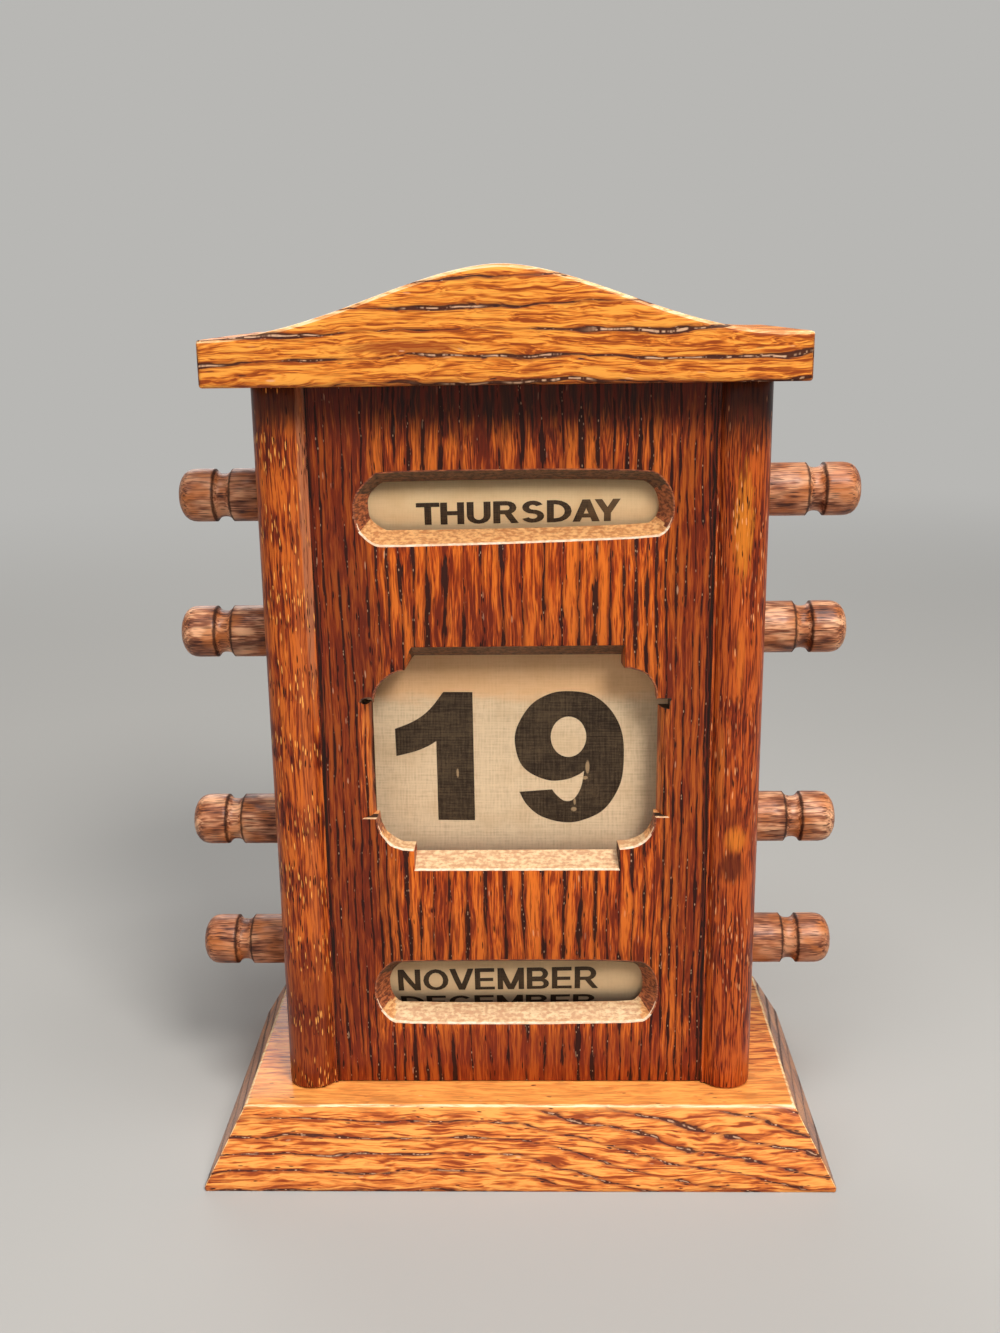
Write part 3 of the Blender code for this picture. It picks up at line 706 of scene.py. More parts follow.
@dataclass(frozen=True)
class TurnedWood:
    """Turned dowel: fine grain from end to end and dark lines at the shoulders of its grooves."""

    light: Colour
    middle: Colour
    dark: Colour
    warm: Colour
    shoulders: tuple[float, ...] = ()
    seed: float = 0.0

    def dress(self, name: str) -> bpy.types.Material:
        """Make the material of one dowel, whose shoulders lie at these x, in millimetres."""
        pad = ShaderPad(name)
        x, y, z = pad.split(pad.place())
        place = pad.join(x + self.seed * 40.0, y, z + self.seed)
        grain = pad.cloud(place, (4.5, 0.34, 0.34), 4.0)
        tone = pad.cloud(place, (8.0, 3.0, 3.0), 2.0)
        colour = pad.ramp(grain * 0.45 + tone * 0.55, (0.38, self.dark), (0.48, self.middle), (0.57, self.light))
        varnish = pad.cloud(place, (7.0, 5.0, 5.0), 1.0)
        colour = pad.mix(colour, self.warm, pad.step(varnish + (grain - 0.5) * 0.4, 0.48, 0.62) * 0.6)
        bend = pad.cloud(place, (20.0, 7.0, 7.0), 1.0) * 2.4
        layer = abs((y * 0.5 + z * 0.36 + bend + (grain - 0.5) * 0.7) % 1.0 - 0.5)
        colour = pad.mix(colour, self.dark, pad.step(layer, 0.2, 0.05) * 0.45)
        distance, luck = pad.cells(place, (4.5, 0.4, 0.4))
        pore = pad.step(distance, 0.4, 0.18) * pad.step(luck, 0.5, 0.4)
        colour = pad.mix(colour, blended(self.dark, (0.0, 0.0, 0.0), 0.6), pore * 0.85)
        ring = pad.cloud(place, (0.9, 1.6, 1.6), 2.0)
        worn = pore
        for shoulder in self.shoulders:
            near = pad.step(abs(x - shoulder) + (ring - 0.5) * 0.7, 0.55, 0.1)
            worn = pad.maths("MAXIMUM", worn, near)
            colour = pad.mix(colour, blended(self.dark, (0.0, 0.0, 0.0), 0.7), near * 0.85)
        lathe = pad.cloud(place, (0.28, 6.0, 6.0), 1.0)
        height = grain * 0.35 + lathe * 0.35 - worn
        return pad.finish(Base_Color=colour, Roughness=0.44 + worn * 0.25, Normal=pad.relief(height, 0.1, 0.7),
                          Coat_Weight=0.1, Coat_Roughness=0.25, Specular_IOR_Level=0.3)


@dataclass(frozen=True)
class Cloth:
    """Plain woven linen: two sets of threads, each of its own thickness and shade."""

    MAP = "weave"
    light: Colour
    dark: Colour
    stain: Colour
    weft: float = 0.42
    warp: float = 0.36
    contrast: float = 0.5
    soiling: float = 0.35
    browned: Flat = (900.0, 901.0)
    brown: Colour = shown(240, 176, 112)

    def threads(self, pad: ShaderPad) -> tuple[Socket, Socket]:
        """Height of the weave, from 0 to 1, and how dark its threads are."""
        lay = pad.lay()
        across, along, _ = pad.split(lay)
        wander = pad.cloud(lay, (9.0, 2.0, 1.0), 2.0) - 0.5
        height, shade = 0.0, -0.1
        for place, pitch, slub in ((along, self.weft, (3.2, self.weft * 1.3, 1.0)),
                                   (across, self.warp, (self.warp * 1.3, 3.2, 1.0))):
            thread = (place + wander * 0.3) / pitch
            luck = pad.node("ShaderNodeTexWhiteNoise", {"noise_dimensions": "1D"},
                            {"W": pad.maths("FLOOR", thread)})
            swell = abs(pad.maths("SINE", thread * pi))
            height = swell * 0.5 + height
            shade = (1.0 - swell) * 0.5 + (luck - 0.5) * 0.3 + (pad.cloud(lay, slub, 1.0) - 0.5) * 1.1 + shade
        return height, shade

    def dress(self, name: str) -> bpy.types.Material:
        """Make the material of a piece of cloth."""
        pad = ShaderPad(name)
        height, shade = self.threads(pad)
        colour = pad.mix(self.light, self.dark, pad.maths("MULTIPLY", shade, self.contrast))
        lay = pad.lay()
        spots = pad.cloud(lay, (11.0, 9.0, 1.0), 3.0)
        colour = pad.mix(colour, self.stain, pad.step(spots, 0.45, 0.72) * self.soiling)
        along = pad.split(lay)[1] + (pad.cloud(lay, (7.0, 3.0, 1.0), 2.0) - 0.5) * 5.0
        colour = pad.mix(colour, self.brown, pad.step(along, *self.browned) * 0.6)
        return pad.finish(Base_Color=colour, Roughness=0.88, Normal=pad.relief(height, 0.06, 0.6),
                          Sheen_Weight=0.15)


@dataclass(frozen=True)
class Ink:
    """Printing ink that the threads show through."""

    colour: Colour
    worn: Colour
    wear: float = 0.3
    fade: Flat = (900.0, 901.0)
    chips: tuple[tuple[float, float, float, float], ...] = ()

    def dress(self, name: str) -> bpy.types.Material:
        """Make the material of printed letters or numbers."""
        pad = ShaderPad(name)
        height, shade = LINEN.threads(pad)
        lay = pad.lay()
        across, along, _ = pad.split(lay)
        specks = pad.step(pad.cloud(lay, (0.5, 0.4, 1.0), 2.0), 0.56, 0.74)
        faded = pad.step(pad.cloud(lay, (14.0, 8.0, 1.0), 2.0), 0.4, 0.75)
        share = (specks * 0.5 + shade * 0.8 + faded * 0.3 + 0.1) * self.wear + pad.step(across, *self.fade) * 0.35
        for x, z, reach_x, reach_z in self.chips:
            away = pad.node("ShaderNodeVectorMath", {"operation": "LENGTH"}, {
                0: pad.join((across - x) / reach_x, (along - z) / reach_z, 0.0)}, "Value")
            share = share + pad.step(away + specks * 0.4, 1.2, 0.7) * 0.9
        share = pad.maths("MINIMUM", pad.maths("MAXIMUM", share, 0.0), 1.0)
        return pad.finish(Base_Color=pad.mix(self.colour, self.worn, share), Roughness=0.62 + specks * 0.2,
                          Normal=pad.relief(height, 0.05, 0.5), Specular_IOR_Level=0.25)


@dataclass(frozen=True)
class Brass:
    """Dull brass with turning marks and tarnish."""

    bright: Colour
    dull: Colour

    def dress(self, name: str) -> bpy.types.Material:
        """Make the material of the screws."""
        pad = ShaderPad(name)
        place = pad.place()
        tarnish = pad.cloud(place, (2.0, 2.0, 2.0), 3.0)
        scratch = pad.cloud(place, (3.0, 0.2, 0.2), 2.0)
        colour = pad.mix(self.bright, self.dull, pad.step(tarnish, 0.4, 0.65))
        return pad.finish(Base_Color=colour, Metallic=1.0, Roughness=0.28 + tarnish * 0.3,
                          Normal=pad.relief(scratch, 0.02, 0.5))


@dataclass(frozen=True)
class PaleFloor:
    """A plain, matt floor that turns into the backdrop's own colour far away."""

    light: Colour
    dark: Colour
    near: float = 300.0
    far: float = 1300.0

    def dress(self, name: str, backdrop: Colour) -> bpy.types.Material:
        """Make the material, which ends in the backdrop's colour."""
        pad = ShaderPad(name)
        place = pad.place()
        cloud = pad.cloud(place, (300.0, 300.0, 300.0), 1.0)
        away = pad.node("ShaderNodeVectorMath", {"operation": "LENGTH"}, {0: place}, "Value")
        share = pad.step(away, self.near, self.far)
        rays = pad.node("ShaderNodeLightPath", out="Is Camera Ray")
        seen = pad.maths("MAXIMUM", rays, rays.other("Is Glossy Ray")) * share
        floor = pad.mix(pad.mix(self.light, self.dark, cloud), (0.0, 0.0, 0.0), share)
        return pad.finish(Base_Color=floor, Roughness=0.7, Emission_Color=pad.mix((0.0, 0.0, 0.0), backdrop, seen),
                          Emission_Strength=1.0, Specular_IOR_Level=0.0)


PORE = shown(34, 10, 5)
CASE_OAK = Oak(Grain.UPRIGHT, Years(across=0.21, deep=0.04, crowd=0.00007), light=shown(222, 112, 36),
               middle=shown(184, 76, 24), dark=shown(112, 36, 13), pore=PORE, glint=shown(240, 190, 150),
               fray=0.42, margin=0.26, fibre=(0.32, 0.32, 6.0), contrast=0.9, hair=0.7, streaks=0.65, sparkle=0.5)
PANEL_OAK = replace(CASE_OAK, stains=(
    # Painted shadow of the roof over the panel's top, together with a darker stain there.
    StainAndPaintedLight((0.0, -20.0, 197.0), (80.0, 20.0, 22.0), shown(36, 13, 7), 0.95),
    StainAndPaintedLight((-42.0, -20.0, 110.0), (15.0, 20.0, 130.0), shown(98, 34, 16), 0.65),
    StainAndPaintedLight((43.0, -20.0, 120.0), (11.0, 20.0, 110.0), shown(106, 38, 17), 0.5),
    StainAndPaintedLight((0.0, -20.0, 22.0), (60.0, 20.0, 14.0), shown(120, 42, 18), 0.6),
    # Near-black lines where the panel meets the side boards: painted shade in the joints.
    StainAndPaintedLight((-45.5, -23.0, 105.0), (1.3, 12.0, 160.0), shown(24, 9, 6), 0.97),
    StainAndPaintedLight((45.6, -23.0, 105.0), (1.6, 12.0, 160.0), shown(20, 8, 5), 0.97),
))
BACK_OAK = replace(CASE_OAK, years=Years(across=0.09, deep=0.05, along=0.004), drift=7.0, band=0.1, fray=0.5,
                   hair=0.4, streaks=0.45, contrast=0.7, dashes=0.3)
# A lighter copy of the panel oak for the side bays' splayed faces: painted light.
LIT_BAY_OAK = replace(PANEL_OAK, light=shown(232, 130, 56), middle=shown(196, 92, 40), dark=shown(124, 46, 20),
                  hair=0.5, stains=())
LEFT_BOARD_OAK = replace(
    CASE_OAK, years=Years(across=0.02, along=0.058, deep=0.1, arch=-0.012, line=-51.5), light=shown(208, 104, 36),
    middle=shown(158, 62, 24), dark=shown(98, 31, 14), glint=shown(250, 172, 84), band=0.0, taper=9.0,
    fibre=(0.24, 0.24, 7.0), tone=(0.5, 0.5, 18.0), pores=(0.4, 0.4, 3.2), zone=0.24, dashes=0.46, flecks=0.34,
    hair=0.62, streaks=0.75, contrast=1.0, glow=0.12, drift=2.0, stains=(
        # Painted shadow of the roof over the board's top.
        StainAndPaintedLight((-52.0, -20.0, 192.0), (12.0, 20.0, 16.0), shown(52, 22, 11), 0.85),
        # Pale stripes down the board's rounded inner edge: painted highlights.
        StainAndPaintedLight((-46.4, -26.0, 160.0), (1.1, 12.0, 46.0), shown(196, 126, 88), 0.75),
        StainAndPaintedLight((-48.5, -24.0, 100.0), (1.5, 12.0, 80.0), shown(190, 98, 48), 0.4),
        StainAndPaintedLight((-52.0, -24.0, 28.0), (12.0, 12.0, 30.0), shown(112, 40, 18), 0.6),
    ))
RIGHT_BOARD_OAK = replace(
    LEFT_BOARD_OAK, years=Years(across=0.05, along=0.02, deep=0.1, arch=-0.008, line=50.0),
    light=shown(198, 92, 32), middle=shown(150, 54, 20), dark=shown(94, 29, 13), dashes=0.32, flecks=0.2, glow=0.06,
    glint=shown(238, 160, 104),
    stains=(
        # Painted shadow of the roof over the board's top.
        StainAndPaintedLight((52.0, -20.0, 192.0), (12.0, 20.0, 20.0), shown(42, 18, 10), 0.9),
        StainAndPaintedLight((51.2, -24.0, 159.0), (2.2, 12.0, 13.0), shown(230, 134, 40), 0.75, 2.2),
        StainAndPaintedLight((51.4, -24.0, 127.0), (1.0, 12.0, 9.0), shown(216, 112, 38), 0.6, 2.0),
        StainAndPaintedLight((47.8, -24.0, 101.0), (0.9, 12.0, 11.0), shown(214, 112, 38), 0.6, 2.0),
        StainAndPaintedLight((50.6, -24.0, 89.5), (4.0, 12.0, 3.2), shown(92, 32, 14), 0.5, 2.0),
        StainAndPaintedLight((51.6, -24.0, 84.0), (2.6, 12.0, 3.6), shown(222, 124, 38), 0.75, 1.4),
        StainAndPaintedLight((51.0, -24.0, 77.0), (3.2, 12.0, 4.6), shown(78, 26, 13), 0.8, 1.2),
    ))
GOLDEN_OAK = Oak(Grain.ACROSS, Years(across=0.19, deep=0.05), light=shown(250, 166, 68),
                 middle=shown(222, 124, 42), dark=shown(150, 66, 20), pore=shown(52, 18, 8),
                 glint=shown(252, 200, 158), band=0.11, fray=0.2, margin=0.13, taper=24.0, drift=5.0, ripple=1.6,
                 fibre=(0.26, 0.26, 7.0), tone=(0.9, 3.0, 16.0), streaks=0.35, dashes=0.08, zone=0.16, core=0.66,
                 hair=0.26, sparkle=0.4, contrast=0.95, coat=0.14, specular=0.22)
ROOF_OAK = replace(GOLDEN_OAK, years=Years(across=0.19, along=-0.002, deep=0.05), stains=(
    StainAndPaintedLight((-22.0, -30.0, 198.0), (15.0, 14.0, 1.6), shown(150, 66, 24), 0.7),
    StainAndPaintedLight((-34.0, -30.0, 187.5), (11.0, 14.0, 1.5), shown(160, 72, 26), 0.7),
    StainAndPaintedLight((30.0, -30.0, 190.0), (16.0, 14.0, 1.4), shown(168, 78, 28), 0.6),
))
BASE_OAK = replace(GOLDEN_OAK, years=Years(across=0.24, deep=0.06, fall=0.055), light=shown(252, 168, 84),
                   middle=shown(224, 124, 54), dark=shown(146, 62, 26), pore=shown(64, 24, 12),
                   fibre=(0.4, 0.4, 7.0), tone=(0.9, 1.2, 12.0), taper=6.0, core=0.5, band=0.09, fray=0.34,
                   margin=0.2, dashes=0.16, zone=0.22, hair=0.3, streaks=0.45, sparkle=0.8, contrast=0.7,
                   pores=(0.45, 0.45, 2.2),
                   # A lighter strip over the base's top and front arris: painted light and a painted highlight.
                   stains=(StainAndPaintedLight((0.0, -30.0, 18.6), (90.0, 20.0, 2.2), shown(246, 166, 84), 0.6, 1.6),),
                   calm=(StainAndPaintedLight((0.0, 0.0, 19.6), (400.0, 400.0, 3.0), PORE, 0.94),))
ROOF_TOP_OAK = replace(ROOF_OAK, years=Years(across=0.12, deep=0.03), pore=shown(112, 52, 20), band=0.09, fray=0.7,
                       margin=0.2, core=0.1, drift=1.2, ripple=0.5, tone=(0.9, 0.9, 16.0), roughness=0.55, coat=0.03,
                       stains=())
END_OAK = replace(GOLDEN_OAK, light=shown(208, 128, 58), middle=shown(176, 98, 42), dark=shown(124, 62, 26),
                  pore=shown(70, 30, 13), band=0.16, fray=0.4, margin=0.22, core=0.0, drift=1.5, ripple=0.3,
                  fibre=(0.35, 0.35, 7.0), tone=(5.0, 9.0, 16.0), dashes=0.4, zone=0.3, pores=(0.4, 0.4, 3.0))
# A lighter copy of the roof oak for its top edges: a painted highlight.
ROOF_EDGE_HIGHLIGHT_OAK = replace(ROOF_OAK, light=shown(255, 222, 170), middle=shown(250, 196, 130), dark=shown(216, 140, 80),
                        stains=())
# A lighter copy of the base oak for its arris: a painted highlight.
BASE_EDGE_HIGHLIGHT_OAK = replace(BASE_OAK, light=shown(255, 226, 176), middle=shown(252, 202, 138), dark=shown(214, 140, 84),
                        stains=())
BARE_WOOD = Oak(Grain.ACROSS, Years(across=0.4, deep=0.3), light=shown(206, 166, 118), middle=shown(188, 146, 98),
                dark=shown(160, 116, 74), pore=shown(110, 74, 46), glint=shown(220, 190, 150), band=0.06,
                coat=0.0, roughness=0.7)
REVEAL_WOOD = CutWood(light=shown(190, 106, 60), dark=shown(104, 44, 24))
# Lit copies of the cut wood for faces that look up, paler at the lower windows: painted light.
SILL_WOOD = CutWood(light=shown(231, 195, 147), dark=shown(198, 146, 102), fleck=0.35)
DAY_SILL_WOOD = CutWood(light=shown(242, 184, 120), dark=shown(198, 128, 74), fleck=0.35)
# A near-white copy for the sills' front arrises: a painted highlight.
SILL_EDGE_HIGHLIGHT_WOOD = CutWood(light=shown(255, 232, 204), dark=shown(240, 196, 156), fleck=0.1)
# A dark copy for cut faces that look down and for the chip: painted shade.
SHADED_CUT_WOOD = CutWood(light=shown(120, 74, 46), dark=shown(60, 30, 18))
# Near-black wood for the saw nick and the floors of the nicks: painted shade in these recesses.
NICK_SHADE_WOOD = CutWood(light=shown(46, 26, 16), dark=shown(22, 12, 8))
KNOB_WOOD = TurnedWood(light=shown(240, 180, 136), middle=shown(166, 100, 66), dark=shown(78, 36, 20),
                       warm=shown(194, 110, 50))
LINEN = Cloth(light=shown(238, 208, 168), dark=shown(170, 136, 98), stain=shown(208, 170, 124))
WINDOW_LINEN = replace(LINEN, browned=(113.0, 118.0))
DAY_CLOTH = Cloth(light=shown(230, 196, 148), dark=shown(186, 148, 100), stain=shown(206, 164, 112),
                  contrast=0.2)
MONTH_CLOTH = Cloth(light=shown(224, 190, 144), dark=shown(182, 148, 106), stain=shown(196, 160, 116),
                    contrast=0.2)
DATE_INK = Ink(shown(34, 21, 10), shown(170, 140, 104), wear=0.24, chips=(
    (17.4, 97.4, 0.5, 1.7), (16.8, 94.6, 0.7, 0.5), (14.1, 86.4, 0.7, 0.6), (14.3, 88.4, 0.3, 0.9),
    (13.2, 91.0, 0.9, 0.3), (-14.2, 96.0, 0.3, 1.2)))
DAY_INK = Ink(shown(42, 30, 20), shown(132, 100, 66), fade=(10.0, 26.0))
MONTH_INK = Ink(shown(50, 38, 26), shown(118, 92, 62))
SCREW_BRASS = Brass(shown(206, 168, 96), shown(150, 112, 58))


# Case


@dataclass(frozen=True)
class Plinth:
    """The base: one board with bevelled edges over a small upright land."""

    land: float = 1.2 * MM
    bevel_run: float = 9.0 * MM
    corner: float = 0.5 * MM
    foot_round: float = 0.35 * MM
    arris_round: float = 0.9 * MM
    step: float = 3.0 * MM
    wobble: float = 0.1 * MM
    # The range of normal.z of the arris faces that take the painted highlight.
    worn: Flat = (0.6, 0.97)

    def levels(self, height: float) -> list[Flat]:
        """Pairs of inset and height that the bevelled side runs through."""
        slope = Vector((self.bevel_run, height - self.land)).normalized() * self.arris_round
        side = [(self.foot_round, 0.0), (self.foot_round * 0.3, self.foot_round * 0.3), (0.0, self.foot_round),
                (0.0, self.land)]
        for share in (0.2, 0.4, 0.6, 0.8):
            side.append((self.bevel_run * share, self.land + (height - self.land) * share))
        top = Vector((self.bevel_run, height))
        for turn in (0.0, 0.25, 0.5, 0.75, 1.0):
            before, after = top - slope * (1 - turn), top + Vector((self.arris_round, 0.0)) * turn
            side.append(tuple(before.lerp(after, turn)))
        return side

    def build(self) -> list[Piece]:
        """Make the base."""
        box = Box.of("base_plinth")
        straights = (ceil(box.size.x / self.step), ceil(box.size.y / self.step))
        rings = []
        for inset, height in self.levels(box.size.z):
            outline = round_corners(box.size.x - 2 * inset, box.size.y - 2 * inset, self.corner, 3, straights)
            ring = []
            for x, y in outline:
                wave = unevenness((x, y, height), 24 * MM, 3.0) * self.wobble - self.wobble
                ring.append((x + wave * x / box.size.x, y + wave * y / box.size.y, height))
            rings.append(ring)
        piece = loft("plinth", rings)
        piece.data.materials.append(BASE_OAK.dress("base_oak"))
        refinish(piece, END_OAK.dress("base_end_oak"), lambda face: abs(face.normal.x) > 0.6)
        # The arris faces take the lighter copy of the oak: a painted highlight.
        refinish(piece, BASE_EDGE_HIGHLIGHT_OAK.dress("worn_base_oak"),
                 lambda face: self.worn[0] < face.normal.z < self.worn[1])
        carve(piece, [BASE_SCREWS.socket(node, "base_oak") for node in BASE_SCREWS.nodes])
        smooth(piece)
        return [Piece(piece, "case", "golden_oak", ("base_plinth",))]


@dataclass(frozen=True)
class SideBoard:
    """A side board: a half-round front edge, a groove for the panel and a rebate for the back."""

    side: Side
    finish: Oak
    nose: float = 5.6 * MM
    groove: float = 3.3 * MM
    rebate: float = 6.0 * MM
    gap: float = 0.3 * MM
    rear_round: float = 0.5 * MM
    end_round: float = 0.4 * MM
    bore: float = 6.65 * MM
    nose_steps: int = 10
    bore_steps: int = 48
    wobble: float = 0.08 * MM

    def section(self, box: Box, panel: Box, back: Box) -> Outline:
        """The board's section from the inner face outwards, with y along the second axis, anticlockwise."""
        thick = box.size.x
        front, rear = box.low.y, box.high.y
        nose = self.nose
        arc = [pi / 2 * step / self.nose_steps for step in range(self.nose_steps + 1)]
        points = [(nose - nose * cos(turn), front + nose - nose * sin(turn)) for turn in arc]
        points += [(thick - nose + nose * sin(turn), front + nose - nose * cos(turn)) for turn in arc]
        points += [(thick, rear - self.rear_round), (thick - self.rear_round, rear)]
        points += [(self.rebate, rear), (self.rebate, back.low.y - self.gap), (0.0, back.low.y - self.gap)]
        points += [(0.0, panel.high.y + self.gap), (self.groove, panel.high.y + self.gap),
                   (self.groove, panel.low.y - self.gap), (0.0, panel.low.y - self.gap)]
        return points

    def build(self) -> list[Piece]:
        """Make one board with the four holes that the dowels turn in."""
        sign = self.side.value
        node = f"{self.side.name.lower()}_side_board"
        box = Box.of(node)
        inner = box.low.x if sign > 0 else -box.high.x
        section = self.section(box, Box.of("front_panel"), Box.of("back_panel"))
        ends = [(self.end_round, 0.0), (self.end_round * 0.3, self.end_round * 0.3), (0.0, self.end_round)]
        levels = [(inset, box.low.z + up) for inset, up in ends]
        count = 40
        span = box.size.z - 2 * self.end_round
        levels += [(0.0, box.low.z + self.end_round + span * step / count) for step in range(1, count)]
        levels += [(inset, box.high.z - up) for inset, up in reversed(ends)]
        rings = []
        for inset, z in levels:
            ring = []
            for u, y in grown(section, -inset):
                wave = unevenness((u, y, z), 22 * MM, 7.0 * sign) * self.wobble
                forward = max(0.0, min(1.0, (panel_front() - y) / self.nose))
                ring.append((sign * (inner + u), y + (wave + self.wobble) * forward, z))
            rings.append(ring)
        piece = loft(node.replace("_side", ""), rings)
        piece.data.materials.append(self.finish.dress(f"{self.side.name.lower()}_board_oak"))
        carve(piece, [self.bore_cutter(row, box) for row in ROWS])
        smooth(piece)
        return [Piece(piece, "case", "red_oak", (node,))]

    def bore_cutter(self, row: "Row", box: Box) -> bpy.types.Object:
        """A cylinder along a row's axis."""
        turns = [2 * pi * step / self.bore_steps for step in range(self.bore_steps)]
        reach = max(abs(box.low.x), abs(box.high.x)) + self.bore
        near = min(abs(box.low.x), abs(box.high.x)) - self.bore
        ends = [self.side.value * near, self.side.value * reach]
        rings = [[(x, self.bore * cos(turn), row.height + self.bore * sin(turn)) for turn in turns] for x in ends]
        return loft("bore", rings)


def panel_front() -> float:
    """The y of the panel's front face."""
    return Box.of("front_panel").low.y


@dataclass(frozen=True)
class Window:
    """A window that is cut by hand: its outlines on the panel's two faces, in millimetres from its middle."""

    name: str
    middle: Flat
    face: tuple[Flat, ...]
    throat: tuple[Flat, ...]
    rounds: int = 2
    arris: float = 0.45 * MM
    belly: float = 1.0
    chatter: float = 0.12 * MM
    overrun: float = 2.0 * MM

    def cutter(self, panel: Box, cut: bpy.types.Material) -> bpy.types.Object:
        """The solid that cuts it, worn round where it meets the face."""
        turn = 1 if area(self.face) > 0 else -1
        face = cut_round([(x * MM, z * MM) for x, z in self.face[::turn]], self.rounds)
        throat = cut_round([(x * MM, z * MM) for x, z in self.throat[::turn]], self.rounds)
        front, back = panel.low.y, panel.high.y
        sections = [(front - self.overrun, grown(face, self.arris * 3.5)), (front, grown(face, self.arris)),
                    (front + self.arris * 0.3, grown(face, self.arris * 0.3)), (front + self.arris, face)]
        start = front + self.arris
        for share in (0.25, 0.5, 0.75):
            narrowed = share ** self.belly
            between = [(x0 + (x1 - x0) * narrowed, z0 + (z1 - z0) * narrowed)
                       for (x0, z0), (x1, z1) in zip(face, throat)]
            sections.append((start + (back - start) * share, between))
        sections += [(back, throat), (back + self.overrun, throat)]
        rings = []
        for y, outline in sections:
            ring = []
            for x, z in outline:
                wave = unevenness((x, y * 2, z), 2.6 * MM, 5.0) * self.chatter
                ring.append((self.middle[0] + x + wave, y, self.middle[1] + z + wave))
            rings.append(ring)
        piece = loft(self.name, rings)
        piece.data.materials.append(cut)
        return piece


